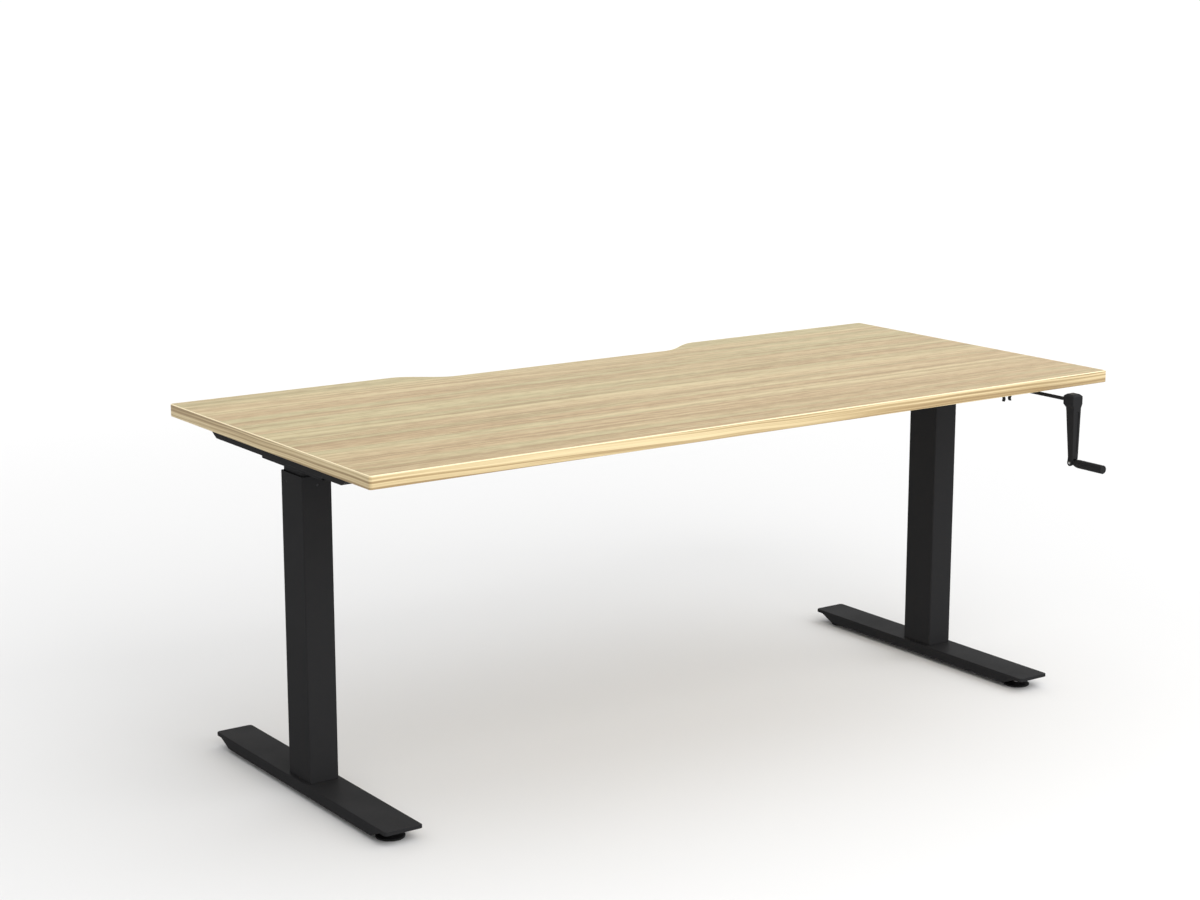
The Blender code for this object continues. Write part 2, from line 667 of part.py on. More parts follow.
def build_guide(lift):
    top = UNDERSIDE - GAP
    back = GUIDE_FRONT + 0.020
    place = (CRANK_X, GUIDE_FRONT, SHAFT_Z)
    guide = box("crank_guide", (CRANK_X - 0.022, GUIDE_FRONT, top - 0.003),
                (CRANK_X + 0.022, back, top), PLASTIC, place)
    join(guide, box("guide_block", (CRANK_X - 0.0075, GUIDE_FRONT, SHAFT_Z - 0.0075),
                    (CRANK_X + 0.0075, back, top - 0.001)))
    cut(guide, rod("guide_bore", 0.0046, -0.03, 0.03, place, rotation=FORWARD_AXIS, sides=FINE))
    attach(lift, guide)


def build_clip(lift):
    """Thin plate under the board's front edge with two sprung prongs, narrowest halfway down."""
    top = UNDERSIDE - GAP
    plate = 0.0012
    inner = [(0.0080, -plate), (0.0057, -0.0058), (0.0090, -0.0115)]
    outer = [(0.0112, -0.0115), (0.0079, -0.0058), (0.0102, -plate)]
    right = inner + outer + [(0.0112, -plate), (0.0112, 0)]
    left = [(-x, z) for x, z in reversed(right)]
    clip = flat("crank_clip", [right + left], CLIP_DEPTH, (CLIP_X, CLIP_Y, top), PLASTIC,
                FRONT_PROFILE)
    attach(lift, clip)


def build_desk():
    base = joint_empty("base", (0, 0, 0))
    lift = joint_empty("lifting_frame", (0, COLUMN_Y, OUTER_TOP))
    build_top(lift)
    for side, name in SIDES:
        build_foot(side, name, base)
        for end, place in ((-1, "front"), (1, "rear")):
            build_leveller(side, end, name + "_" + place + "_leveller", base)
        build_fixed_column(side, name, base)
        build_moving_column(side, name, lift)
        build_head(side, name, lift)
        build_screw(side, name, lift)
        build_gearbox(side, name, lift)
    build_rail(-RAIL_OFFSET, "front_cross_rail", lift)
    build_rail(RAIL_OFFSET, "rear_cross_rail", lift)
    build_cross_shaft(lift)
    build_crank_gearbox(lift)
    crank_axis = build_crank_input(lift)
    build_grip(build_crank(crank_axis))
    build_guide(lift)
    build_clip(lift)


SIDES = ((-1, "left"), (1, "right"))
clear_scene()
DESK = new_collection("crank height adjustable desk")
CUTTERS = new_collection("cutters")
build_desk()
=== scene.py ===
"""Looks of the crank height adjustable desk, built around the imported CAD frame.

Metres, +Z up. Every piece takes its place and size from the frame's nodes.
"""
import json
import math
from collections import namedtuple

import bmesh
import bpy
from mathutils import Matrix, Vector


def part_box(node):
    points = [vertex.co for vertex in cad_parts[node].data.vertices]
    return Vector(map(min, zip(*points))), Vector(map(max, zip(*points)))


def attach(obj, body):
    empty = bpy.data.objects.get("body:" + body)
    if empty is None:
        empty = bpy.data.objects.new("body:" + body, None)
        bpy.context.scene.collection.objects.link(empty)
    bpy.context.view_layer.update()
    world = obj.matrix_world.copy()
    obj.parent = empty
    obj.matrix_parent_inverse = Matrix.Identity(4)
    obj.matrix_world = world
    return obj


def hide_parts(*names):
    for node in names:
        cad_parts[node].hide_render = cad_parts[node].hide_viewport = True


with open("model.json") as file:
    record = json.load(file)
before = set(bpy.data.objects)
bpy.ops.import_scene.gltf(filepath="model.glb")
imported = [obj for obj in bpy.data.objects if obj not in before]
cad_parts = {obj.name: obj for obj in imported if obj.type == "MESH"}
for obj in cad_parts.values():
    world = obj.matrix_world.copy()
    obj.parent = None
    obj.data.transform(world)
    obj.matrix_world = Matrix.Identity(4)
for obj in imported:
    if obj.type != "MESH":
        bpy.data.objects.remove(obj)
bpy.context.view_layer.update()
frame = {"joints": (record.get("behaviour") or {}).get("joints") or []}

SIDES = (("left", -1), ("right", 1))
ENDS = ("front", "rear")
HAIR = 0.0001

BAND_RADIUS = 0.0016
SCALLOP_DEPTH = 0.058
SCALLOP_FLAT = 0.273
SCALLOP_MOUTH = 0.398
TOP_CORNER = 0.006

TUBE_WALL = 0.002
TUBE_CORNER = 0.003
INNER_CORNER = 0.0025
GLIDE_WALL = 0.0014
GLIDE_SCREW_DROP = 0.0185
FRONT_SCREW_OFFSET = 0.001
SIDE_SCREW_OFFSET = 0.0232
SHEET = 0.0025
BEND = 0.0016
ARM_SLOPE = math.radians(30)
ARM_HOLE = 0.0045
ARM_HOLES = (-0.21, -0.15, 0.15, 0.21)

# Radii of round holes
GLIDE_HOLE = 0.0028
FOOT_BOLT_HOLE = 0.0044
HEAD_HOLE = 0.0078
RAIL_HOLE = 0.0092
GEARBOX_HOLE = 0.0064
SOCKET_HOLE = 0.0085
BEARING_HOLE = 0.0063
GUIDE_HOLE = 0.0046
PIN_HOLE = 0.0023

# Hexagons across their flats, and places that several pieces share
SHAFT_ACROSS = 0.010
ROD_ACROSS = 0.007
ROD_POCKET_ACROSS = 0.0076
GLIDE_SCREW_SINK = 0.0019
FOOT_BOLT_X = 0.017
FOOT_BOLT_Y = 0.028
THROUGH = 0.1


# ---- frame facts

Box = namedtuple("Box", "low high size middle")


def size_of(node):
    """Low corner, high corner, size and middle of a CAD node."""
    low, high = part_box(node)
    return Box(low, high, high - low, (low + high) / 2)


DESK_LOW, DESK_HIGH, DESK_SIZE, DESK_MIDDLE = size_of("edge_band")
JOINTS = {joint["name"]: joint for joint in frame["joints"]}


def joint_point(name):
    return Vector(JOINTS[name]["pos_m"])


CRANK = joint_point("crank_turn")
GRIP_PIN = joint_point("grip_fold")
COLUMN_Y = CRANK.y
BAND = size_of("desktop").low.x - DESK_LOW.x - HAIR


# ---- mesh helpers

def arc(centre, radius, start, end, steps):
    """Points on a circle, from one angle in degrees to another."""
    points = []
    for step in range(steps + 1):
        angle = math.radians(start + (end - start) * step / steps)
        points.append((centre[0] + radius * math.cos(angle), centre[1] + radius * math.sin(angle)))
    return points


def circle(radius, steps=48):
    return arc((0, 0), radius, 0, 360, steps)[:-1]


def rounded_rectangle(width, depth, radius, steps=8):
    """Points round a rectangle about the origin, with arcs at its corners."""
    points = []
    for turn, (sx, sy) in enumerate(((1, 1), (-1, 1), (-1, -1), (1, -1))):
        centre = (sx * (width / 2 - radius), sy * (depth / 2 - radius))
        points += arc(centre, radius, 90 * turn, 90 * turn + 90, steps)
    return points


def fillet(points, radius, closed=False, steps=6):
    """The same path with its corners rounded by arcs."""
    count = len(points)
    rounded = []
    for index, point in enumerate(points):
        here = Vector(point)
        if not closed and index in (0, count - 1):
            rounded.append(tuple(here))
            continue
        to_last = Vector(points[index - 1]) - here
        to_next = Vector(points[(index + 1) % count]) - here
        half = to_last.angle(to_next) / 2
        reach = min(radius / math.tan(half), 0.49 * min(to_last.length, to_next.length))
        bend = reach * math.tan(half)
        to_last.normalize()
        to_next.normalize()
        centre = here + (to_last + to_next).normalized() * (bend / math.sin(half))
        start = here + to_last * reach - centre
        sweep = start.angle_signed(here + to_next * reach - centre)
        for step in range(steps + 1):
            turn = Matrix.Rotation(-sweep * step / steps, 2)
            rounded.append(tuple(centre + turn @ start))
    return rounded


def offset(points, distance, closed=True):
    """Outline moved to its left by a distance, with mitred corners."""
    moved = []
    count = len(points)
    for index in range(count):
        here = Vector(points[index])
        before = Vector(points[index - 1]) if closed or index else None
        after = Vector(points[(index + 1) % count]) if closed or index < count - 1 else None
        sides = []
        if before is not None:
            step = (here - before).normalized()
            sides.append(Vector((-step.y, step.x)))
        if after is not None:
            step = (after - here).normalized()
            sides.append(Vector((-step.y, step.x)))
        normal = sum(sides, Vector((0, 0))).normalized()
        moved.append(tuple(here + normal * distance / max(0.3, normal.dot(sides[0]))))
    return moved


def thicken(path, thickness):
    """Closed section of a folded sheet whose outer face follows the path."""
    return list(path) + list(reversed(offset(path, thickness, closed=False)))


def loft(rings, wrap=False, closed=True):
    """Solid through rings of equal point counts: capped, or closed on itself.

    Rings that are not closed leave the side between their two ends open.
    """
    bm = bmesh.new()
    layers = [[bm.verts.new(point) for point in ring] for ring in rings]
    pairs = list(zip(layers, layers[1:]))
    if wrap:
        pairs.append((layers[-1], layers[0]))
    count = len(layers[0])
    for lower, upper in pairs:
        for index in range(count if closed else count - 1):
            after = (index + 1) % count
            bm.faces.new((lower[index], lower[after], upper[after], upper[index]))
    if not wrap:
        bm.faces.new(list(reversed(layers[0])))
        bm.faces.new(layers[-1])
    bmesh.ops.recalc_face_normals(bm, faces=bm.faces)
    return bm


def swept(outline, profile):
    """Closed band around an outline, from (inset, height) points of its section."""
    rings = [[(x, y, height) for x, y in offset(outline, inset)] for inset, height in profile]
    return loft(rings, wrap=True)


def rim_section(low, high, wall, edge):
    """(inset, height) points of an upright wall with softened rims."""
    return [(0, low + edge), (0, high - edge), (edge, high), (wall - edge, high),
            (wall, high - edge), (wall, low + edge), (wall - edge, low), (edge, low)]


def slab(outline, low, high):
    """Outline pushed up from one height to another."""
    return loft([[(x, y, z) for x, y in outline] for z in (low, high)])


def lathe(profile, steps=48):
    """Solid turned about Z from (radius, height) points, a ring if they miss the axis."""
    bm = bmesh.new()
    on_axis = profile[0][0] < 1e-6
    body = profile[1:-1] if on_axis else profile
    layers = []
    for radius, height in body:
        layers.append([bm.verts.new((x, y, height)) for x, y in circle(radius, steps)])
    pairs = list(zip(layers, layers[1:]))
    if not on_axis:
        pairs.append((layers[-1], layers[0]))
    for lower, upper in pairs:
        for index in range(steps):
            after = (index + 1) % steps
            bm.faces.new((lower[index], lower[after], upper[after], upper[index]))
    if on_axis:
        for ring, height in ((layers[0], profile[0][1]), (layers[-1], profile[-1][1])):
            tip = bm.verts.new((0, 0, height))
            for index in range(steps):
                bm.faces.new((ring[index], ring[(index + 1) % steps], tip))
    bmesh.ops.recalc_face_normals(bm, faces=bm.faces)
    return bm


def block(low, high):
    bm = bmesh.new()
    bmesh.ops.create_cube(bm, size=1.0)
    low, high = Vector(low), Vector(high)
    bmesh.ops.scale(bm, vec=high - low, verts=bm.verts)
    bmesh.ops.translate(bm, vec=(low + high) / 2, verts=bm.verts)
    return bm


ALONG_X = Matrix(((0, 0, 1), (1, 0, 0), (0, 1, 0))).to_4x4()
ALONG_Y = Matrix(((1, 0, 0), (0, 0, -1), (0, 1, 0))).to_4x4()
UPRIGHT = Matrix.Identity(4)
FACING = {
    "up": UPRIGHT,
    "down": Matrix.Rotation(math.pi, 4, "X"),
    "front": Matrix.Rotation(math.pi / 2, 4, "X"),
    "back": Matrix.Rotation(-math.pi / 2, 4, "X"),
    "left": Matrix.Rotation(-math.pi / 2, 4, "Y"),
    "right": Matrix.Rotation(math.pi / 2, 4, "Y"),
}


def placed(bm, where, turn=UPRIGHT):
    """The same geometry turned, then moved."""
    bmesh.ops.transform(bm, matrix=Matrix.Translation(where) @ turn, verts=bm.verts)
    return bm


def round_bar(radius, low, high, where, facing="up", steps=32):
    """Cylinder through a point, along the way that a face looks."""
    return placed(slab(circle(radius, steps), low, high), where, FACING[facing])


def plate_in(box, radius, low=None):
    """Plate with rounded corners that fills a box, or its part above a height."""
    outline = [(box.middle.x + x, box.middle.y + y)
               for x, y in rounded_rectangle(box.size.x, box.size.y, radius)]
    return slab(outline, box.low.z if low is None else low, box.high.z)


def add_object(name, data):
    obj = bpy.data.objects.new(name, data)
    bpy.context.scene.collection.objects.link(obj)
    return obj


def to_object(name, bm):
    mesh = bpy.data.meshes.new(name)
    bm.to_mesh(mesh)
    bm.free()
    return add_object(name, mesh)


def settle(obj):
    """Makes an object's modifiers part of its mesh."""
    made = obj.evaluated_get(bpy.context.evaluated_depsgraph_get())
    mesh = bpy.data.meshes.new_from_object(made)
    obj.modifiers.clear()
    obj.data = mesh


def boolean(obj, others, operation):
    """Boolean with other geometry, applied to the object's mesh."""
    for other in others:
        tool = to_object(obj.name + "_tool", other)
        modifier = obj.modifiers.new("Boolean", "BOOLEAN")
        modifier.operation = operation
        modifier.object = tool
        settle(obj)
        bpy.data.objects.remove(tool, do_unlink=True)
    return obj


def cut(obj, *others):
    return boolean(obj, others, "DIFFERENCE")


def join(obj, *others):
    return boolean(obj, others, "UNION")


def soften(obj, width=0.0005, segments=3, angle=30):
    """Rounds the edges that are sharper than an angle in degrees."""
    bevel = obj.modifiers.new("Rounded edges", "BEVEL")
    bevel.width = width
    bevel.segments = segments
    bevel.limit_method = "ANGLE"
    bevel.angle_limit = math.radians(angle)
    return obj


def smooth(obj, angle=35):
    obj.data.shade_smooth()
    if not any(modifier.type == "BEVEL" for modifier in obj.modifiers):
        obj.data.set_sharp_from_angle(angle=math.radians(angle))
    normals = obj.modifiers.new("Even shading", "WEIGHTED_NORMAL")
    normals.keep_sharp = True
    return obj


def piece(obj, finish, body, *nodes):
    """Gives an object its material and its body, and hides the CAD nodes that it stands for."""
    material, slot = finish
    obj.data.materials.clear()
    obj.data.materials.append(material)
    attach(obj, body)
    if nodes:
        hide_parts(*nodes)


# ---- materials

def linear(red, green, blue):
    """Linear colour from 0 to 255 display values."""
    def channel(value):
        value /= 255
        return value / 12.92 if value <= 0.04045 else ((value + 0.055) / 1.055) ** 2.4
    return (channel(red), channel(green), channel(blue), 1.0)


class Finish:
    """A Principled material and short ways to add the nodes that vary it."""

    def __init__(self, name, colour, roughness, metallic=0.0, specular=0.5):
        self.material = bpy.data.materials.new(name)
        self.material.use_nodes = True
        self.tree = self.material.node_tree
        self.shader = self.tree.nodes["Principled BSDF"]
        self.shader.inputs["Base Color"].default_value = colour
        self.shader.inputs["Roughness"].default_value = roughness
        self.shader.inputs["Metallic"].default_value = metallic
        self.shader.inputs["Specular IOR Level"].default_value = specular
        self.place = self.node("ShaderNodeTexCoord").outputs["Object"]

    def node(self, kind, inputs=(), **settings):
        made = self.tree.nodes.new(kind)
        for key, value in settings.items():
            setattr(made, key, value)
        for key, value in dict(inputs).items():
            if isinstance(value, bpy.types.NodeSocket):
                self.tree.links.new(value, made.inputs[key])
            else:
                made.inputs[key].default_value = value
        return made

    def stretch(self, scale, source=None):
        """Place in the object's own space, scaled along each axis."""
        inputs = {"Vector": source or self.place, "Scale": scale}
        return self.node("ShaderNodeMapping", inputs).outputs["Vector"]

    def noise(self, vector, scale=1.0, detail=4.0, roughness=0.5, distortion=0.0):
        inputs = {"Vector": vector, "Scale": scale, "Detail": detail, "Roughness": roughness,
                  "Distortion": distortion}
        return self.node("ShaderNodeTexNoise", inputs).outputs["Fac"]

    def math(self, operation, first, second=0.0, third=0.0):
        inputs = {0: first, 1: second, 2: third}
        return self.node("ShaderNodeMath", inputs, operation=operation).outputs["Value"]

    def spread(self, value, low, high, to_low=0.0, to_high=1.0):
        """Value carried from one range to another, held at its ends."""
        inputs = {"Value": value, "From Min": low, "From Max": high, "To Min": to_low,
                  "To Max": to_high}
        return self.node("ShaderNodeMapRange", inputs).outputs["Result"]

    def mix(self, factor, first, second):
        """Colour between two others; a colour mix has its sockets at 0, 6, 7 and 2."""
        made = self.node("ShaderNodeMix", data_type="RGBA")
        for socket, value in ((made.inputs[0], factor), (made.inputs[6], first),
                              (made.inputs[7], second)):
            if isinstance(value, bpy.types.NodeSocket):
                self.tree.links.new(value, socket)
            else:
                socket.default_value = value
        return made.outputs[2]

    def ramp(self, factor, stops):
        """Colour ramp from (position, colour) stops."""
        made = self.node("ShaderNodeValToRGB", {"Fac": factor})
        band = made.color_ramp
        while len(band.elements) < len(stops):
            band.elements.new(0.5)
        for element, (position, colour) in zip(band.elements, stops):
            element.position = position
            element.color = colour
        return made.outputs["Color"]

    def parts(self):
        return self.node("ShaderNodeSeparateXYZ", {"Vector": self.place}).outputs

    def joined(self, x, y, z):
        return self.node("ShaderNodeCombineXYZ", {"X": x, "Y": y, "Z": z}).outputs["Vector"]

    def use(self, socket, value):
        self.tree.links.new(value, self.shader.inputs[socket])

    def bump(self, height, distance, strength=1.0):
        inputs = {"Height": height, "Distance": distance, "Strength": strength}
        self.use("Normal", self.node("ShaderNodeBump", inputs).outputs["Normal"])


def oak_melamine():
    """Pale oak print: pinkish and greenish bands, straight streaks and fine pores along X."""
    finish = Finish("oak_melamine", linear(175, 157, 118), 0.55, specular=0.4)
    x, y, z = finish.parts()
    sway = finish.noise(finish.stretch((0.7, 2.0, 0.0)), detail=2.0)
    bent = finish.math("MULTIPLY_ADD", finish.math("SUBTRACT", sway, 0.5), 0.020, y)
    strip_place = finish.math("DIVIDE", bent, 0.098)
    strip = finish.math("FLOOR", strip_place)
    within = finish.math("FRACT", strip_place)
    chance = finish.node("ShaderNodeTexWhiteNoise", {"W": strip}, noise_dimensions="1D")
    shifted = finish.math("MULTIPLY_ADD", chance.outputs["Value"], 7.0, x)
    grain_place = finish.joined(shifted, bent, z)

    def grain(along, across, detail, roughness=0.6, distortion=0.0, source=grain_place):
        return finish.noise(finish.stretch((along, across, 1.0), source), detail=detail,
                            roughness=roughness, distortion=distortion)

    broad = grain(0.45, 17.0, 3.0, 0.55, 0.3)
    pale = grain(0.55, 30.0, 2.0, 0.5, 0.2, finish.joined(x, bent, z))
    streak = grain(1.1, 72.0, 4.0, 0.66, 0.25)
    mottle = grain(24.0, 120.0, 3.0, 0.7)
    fine = grain(9.0, 620.0, 4.0, 0.7)
    fleck = grain(70.0, 260.0, 3.0)
    light, dark = linear(203, 186, 143), linear(145, 121, 80)
    green, pink = linear(178, 166, 124), linear(177, 151, 112)
    colour = finish.mix(finish.spread(broad, 0.42, 0.58), green, pink)
    for value, start, end, share, tint in (
            (pale, 0.52, 0.70, 0.70, light), (streak, 0.50, 0.68, 0.85, dark),
            (streak, 0.46, 0.30, 0.65, light), (mottle, 0.50, 0.70, 0.50, dark),
            (mottle, 0.48, 0.28, 0.45, light), (fine, 0.56, 0.82, 0.40, linear(138, 113, 74)),
            (within, 0.030, 0.0, 0.75, linear(209, 193, 151)),
            (within, 0.93, 1.0, 0.60, linear(140, 116, 76))):
        colour = finish.mix(finish.spread(value, start, end, 0.0, share), colour, tint)
    finish.use("Base Color", colour)
    finish.use("Roughness", finish.spread(fine, 0.3, 0.8, 0.50, 0.64))
    relief = finish.math("ADD", finish.math("MULTIPLY", fine, 0.7), fleck)
    finish.bump(relief, 0.00005, 0.35)
    return finish.material


def oak_edge():
    """Edge band print: lines along its length, with a painted pale highlight along the rounded
    upper arris.
    """
    finish = Finish("oak_edge", linear(200, 180, 138), 0.45)
    x, y, z = finish.parts()
    wave = finish.noise(finish.stretch((1.6, 1.6, 0.0)), detail=2.0)
    bent = finish.math("MULTIPLY_ADD", finish.math("SUBTRACT", wave, 0.5), 0.022, z)
    place = finish.joined(x, y, bent)
    lines = finish.noise(finish.stretch((0.9, 0.9, 230.0), place), detail=2.0, roughness=0.5)
    fine = finish.noise(finish.stretch((5.0, 5.0, 800.0), place), detail=3.0)
    colour = finish.ramp(lines, [
        (0.36, linear(218, 199, 155)), (0.46, linear(203, 182, 138)),
        (0.53, linear(178, 154, 110)), (0.62, linear(152, 126, 84))])
    colour = finish.mix(finish.spread(fine, 0.52, 0.80, 0.0, 0.35), colour,
                        linear(156, 130, 90))
    from_top = finish.math("SUBTRACT", DESK_HIGH.z, z)
    # Painted highlight: the band's rounded upper arris is tinted a pale yellow-white where light
    # catches it; the lower arris is left plain.
    painted_arris_highlight = finish.spread(from_top, BAND_RADIUS, BAND_RADIUS * 0.8, 0.0, 1.0)
    colour = finish.mix(painted_arris_highlight, colour, linear(244, 228, 188))
    finish.use("Base Color", colour)
    finish.bump(fine, 0.00004, 0.3)
    return finish.material


def powder_coat():
    """Satin black with the fine orange peel of powder paint."""
    finish = Finish("black_powder_coat", linear(43, 43, 44), 0.55, specular=0.02)
    grain = finish.noise(finish.place, scale=1500.0, detail=2.0)
    peel = finish.noise(finish.place, scale=260.0, detail=2.0)
    patch = finish.noise(finish.place, scale=9.0, detail=3.0)
    finish.use("Base Color", finish.mix(finish.spread(grain, 0.35, 0.75), linear(38, 38, 39),
                                        linear(47, 47, 48)))
    finish.use("Roughness", finish.spread(patch, 0.3, 0.7, 0.50, 0.60))
    finish.bump(finish.math("MULTIPLY_ADD", peel, 0.6, grain), 0.00006, 0.5)
    return finish.material


def moulded_plastic(name, level, roughness, scale=900.0):
    """Moulded plastic with a fine spark eroded grain."""
    finish = Finish(name, linear(level, level, level + 1), roughness, specular=0.06)
    grain = finish.noise(finish.place, scale=scale, detail=3.0)
    patch = finish.noise(finish.place, scale=30.0, detail=2.0)
    finish.use("Base Color", finish.mix(patch, linear(level - 3, level - 3, level - 2),
                                        linear(level + 4, level + 4, level + 5)))
    finish.use("Roughness", finish.spread(patch, 0.3, 0.7, roughness - 0.05, roughness + 0.06))
    finish.bump(grain, 0.00005, 0.45)
    return finish.material


def plated_steel(name, colour, roughness):
    """Plated or turned metal: faint cloudiness and a fine grain."""
    finish = Finish(name, linear(*colour), roughness, 1.0)
    cloud = finish.noise(finish.place, scale=60.0, detail=4.0)
    drawn = finish.noise(finish.stretch((40, 40, 40)), scale=30.0, detail=3.0)
    low = linear(*(level * 0.88 for level in colour))
    finish.use("Base Color", finish.mix(cloud, low, linear(*colour)))
    finish.use("Roughness", finish.spread(drawn, 0.3, 0.7, roughness - 0.06, roughness + 0.12))
    finish.bump(drawn, 0.00003, 0.4)
    return finish.material


def cast_metal():
    """Die cast zinc, matt and slightly pitted."""
    finish = Finish("cast_zinc", linear(150, 151, 153), 0.5, 0.9)
    pits = finish.noise(finish.place, scale=420.0, detail=4.0, roughness=0.65)
    cloud = finish.noise(finish.place, scale=35.0, detail=4.0)
    finish.use("Base Color", finish.mix(cloud, linear(132, 133, 135), linear(168, 169, 171)))
    finish.use("Roughness", finish.spread(cloud, 0.3, 0.7, 0.42, 0.60))
    finish.bump(pits, 0.00012, 0.6)
    return finish.material


# Each material with the slot that it fills
OAK = oak_melamine(), "oak_melamine"
EDGE = oak_edge(), "oak_edge"
BLACK = powder_coat(), "black_powder_coat"
PLASTIC = moulded_plastic("black_plastic", 34, 0.50), "black_plastic"
SOFT_PLASTIC = moulded_plastic("grip_plastic", 36, 0.55, 1400.0), "black_plastic"
STEEL = plated_steel("bright_steel", (196, 197, 199), 0.30), "bright_steel"
DARK_STEEL = plated_steel("black_oxide_steel", (64, 64, 66), 0.42), "bright_steel"
BRASS = plated_steel("brass", (206, 172, 104), 0.28), "brass"
ZINC = cast_metal(), "cast_zinc"


# ---- desktop

def desktop_outline():
    """Rounded rectangle with a wide shallow cut-out in the rear edge."""
    corners = rounded_rectangle(DESK_SIZE.x, DESK_SIZE.y, TOP_CORNER)
    steps = 28
    shoulder = []
    for step in range(steps + 1):
        part = step / steps
        x = SCALLOP_MOUTH + (SCALLOP_FLAT - SCALLOP_MOUTH) * part
        drop = SCALLOP_DEPTH * (1 - math.cos(math.pi * part)) / 2
        shoulder.append((x, DESK_SIZE.y / 2 - drop))
    mirrored = [(-x, y) for x, y in reversed(shoulder)]
    quarter = len(corners) // 4
    outline = corners[:quarter] + shoulder + mirrored + corners[quarter:]
    return [(x, y + DESK_MIDDLE.y) for x, y in outline]


def make_top():
    """Board with its print, and the band that is glued round it."""
    outline = desktop_outline()
    low, high = DESK_LOW.z, DESK_HIGH.z
    turns = [math.radians(angle) for angle in range(0, 91, 15)]
    arris = [(BAND_RADIUS * (1 - math.cos(turn)), BAND_RADIUS * (1 - math.sin(turn)))
             for turn in turns]
    section = [(inset, low + drop) for inset, drop in reversed(arris)]
    section += [(inset, high - drop) for inset, drop in arris]
    section += [(BAND, high), (BAND, low)]
    band = to_object("edge_band_skin", swept(outline, section))
    piece(smooth(band, 50), EDGE, "top", "edge_band")
    chamfer = 0.0002
    gap = HAIR / 2
    rings = []
    for inset, height in ((BAND + chamfer, low), (BAND + gap, low + chamfer),
                          (BAND + gap, high - chamfer), (BAND + chamfer, high)):
        rings.append([(x, y, height) for x, y in offset(outline, inset)])
    board = to_object("desktop_board", loft(rings))
    piece(smooth(board, 25), OAK, "top", "desktop")


# ---- fasteners

def turned_head(name, radius, rise, dome):
    """Screw head standing on z = 0."""
    profile = [(0, 0), (radius * 0.96, 0), (radius, rise * 0.12)]
    steps = 6
    for step in range(steps + 1):
        angle = math.pi / 2 * step / steps
        profile.append((radius - dome + dome * math.cos(angle),
                        rise - dome * 0.7 + dome * 0.7 * math.sin(angle)))
    profile.append((0, rise))
    return to_object(name, lathe(profile, 32))


def hexagon(across, low, high):
    radius = across / math.sqrt(3)
    return slab(arc((0, 0), radius, 0, 360, 6)[:-1], low, high)


def shared_mesh(obj):
    """Mesh data of an object with its modifiers; the object goes."""
    settle(obj)
    mesh = obj.data
    bpy.data.objects.remove(obj, do_unlink=True)
    return mesh


def pan_head():
    head = turned_head("pan_head", 0.0042, 0.0024, 0.0022)
    arm = 0.0005
    reach = 0.0024
    cut(head, block((-reach, -arm, 0.0010), (reach, arm, 0.01)),
        block((-arm, -reach, 0.0010), (arm, reach, 0.01)))
    return shared_mesh(smooth(head, 30))


def socket_head(radius, rise, across):
    """Cap head with a hexagonal recess."""
    head = turned_head("socket_head", radius, rise, 0.0006)
    cut(head, hexagon(across, rise * 0.4, rise + 0.01))
    return shared_mesh(smooth(head, 30))


def hex_head(across, rise):
    head = to_object("hex_head", hexagon(across, 0, rise))
    join(head, lathe([(0, -0.0012), (across * 0.62, -0.0012), (across * 0.64, -0.0009),
                      (across * 0.64, -0.0002), (across * 0.62, 0.0001), (0, 0.0001)], 32))
    return shared_mesh(smooth(soften(head, 0.0004, 2), 30))


PAN = pan_head()
HEX = hex_head(0.013, 0.0052)


def fastener(name, mesh, where, facing, body, material=DARK_STEEL, spin=0.0):
    """Screw or bolt head from shared mesh data, set on a face."""
    head = add_object(name, mesh)
    head.matrix_world = Matrix.Translation(where) @ FACING[facing] @ Matrix.Rotation(spin, 4, "Z")
    piece(head, material, body)


# ---- legs

def tube(name, node, wall=TUBE_WALL, corner=TUBE_CORNER, edge=0.0005):
    """Rectangular tube standing where a CAD node stands, with its rims rounded."""
    low, high, size, middle = size_of(node)
    outline = [(x + middle.x, y + middle.y) for x, y in rounded_rectangle(size.x, size.y, corner)]
    section = rim_section(low.z, high.z, wall, edge)
    section.insert(2, (edge * 0.3, high.z - edge * 0.3))
    return to_object(name, swept(outline, section))


def make_column(side, sign):
    """Outer and inner tube with the glides between them and two glide screws."""
    outer = tube(side + "_outer_tube", side + "_outer_column")
    low, high, size, middle = size_of(side + "_outer_column")
    hole_z = high.z - GLIDE_SCREW_DROP
    front = Vector((middle.x + FRONT_SCREW_OFFSET, low.y, hole_z))
    flank = Vector((middle.x + sign * size.x / 2, middle.y + SIDE_SCREW_OFFSET, hole_z))
    cut(outer, round_bar(GLIDE_HOLE, -0.004, 0.004, front, "front", 24),
        round_bar(GLIDE_HOLE, -0.004, 0.004, flank, "right", 24))
    piece(smooth(outer, 30), BLACK, "base", side + "_outer_column")
    pin = socket_head(0.0025, 0.0016, 0.0020)
    fastener(side + "_glide_screw_front", pin, front + Vector((0, GLIDE_SCREW_SINK, 0)),
             "front", "base")
    fastener(side + "_glide_screw_side", pin, flank - Vector((sign * GLIDE_SCREW_SINK, 0, 0)),
             "right" if sign > 0 else "left", "base")
    inner = tube(side + "_inner_tube", side + "_inner_column", corner=INNER_CORNER)
    piece(smooth(inner, 30), BLACK, "top", side + "_inner_column")
    for node, body, corner in ((side + "_upper_glide", "base", 0.0020),
                               (side + "_lower_glide", "top", 0.0042)):
        ring = tube(node + "_ring", node, GLIDE_WALL, corner, 0.0003)
        piece(smooth(ring, 30), PLASTIC, body, node)


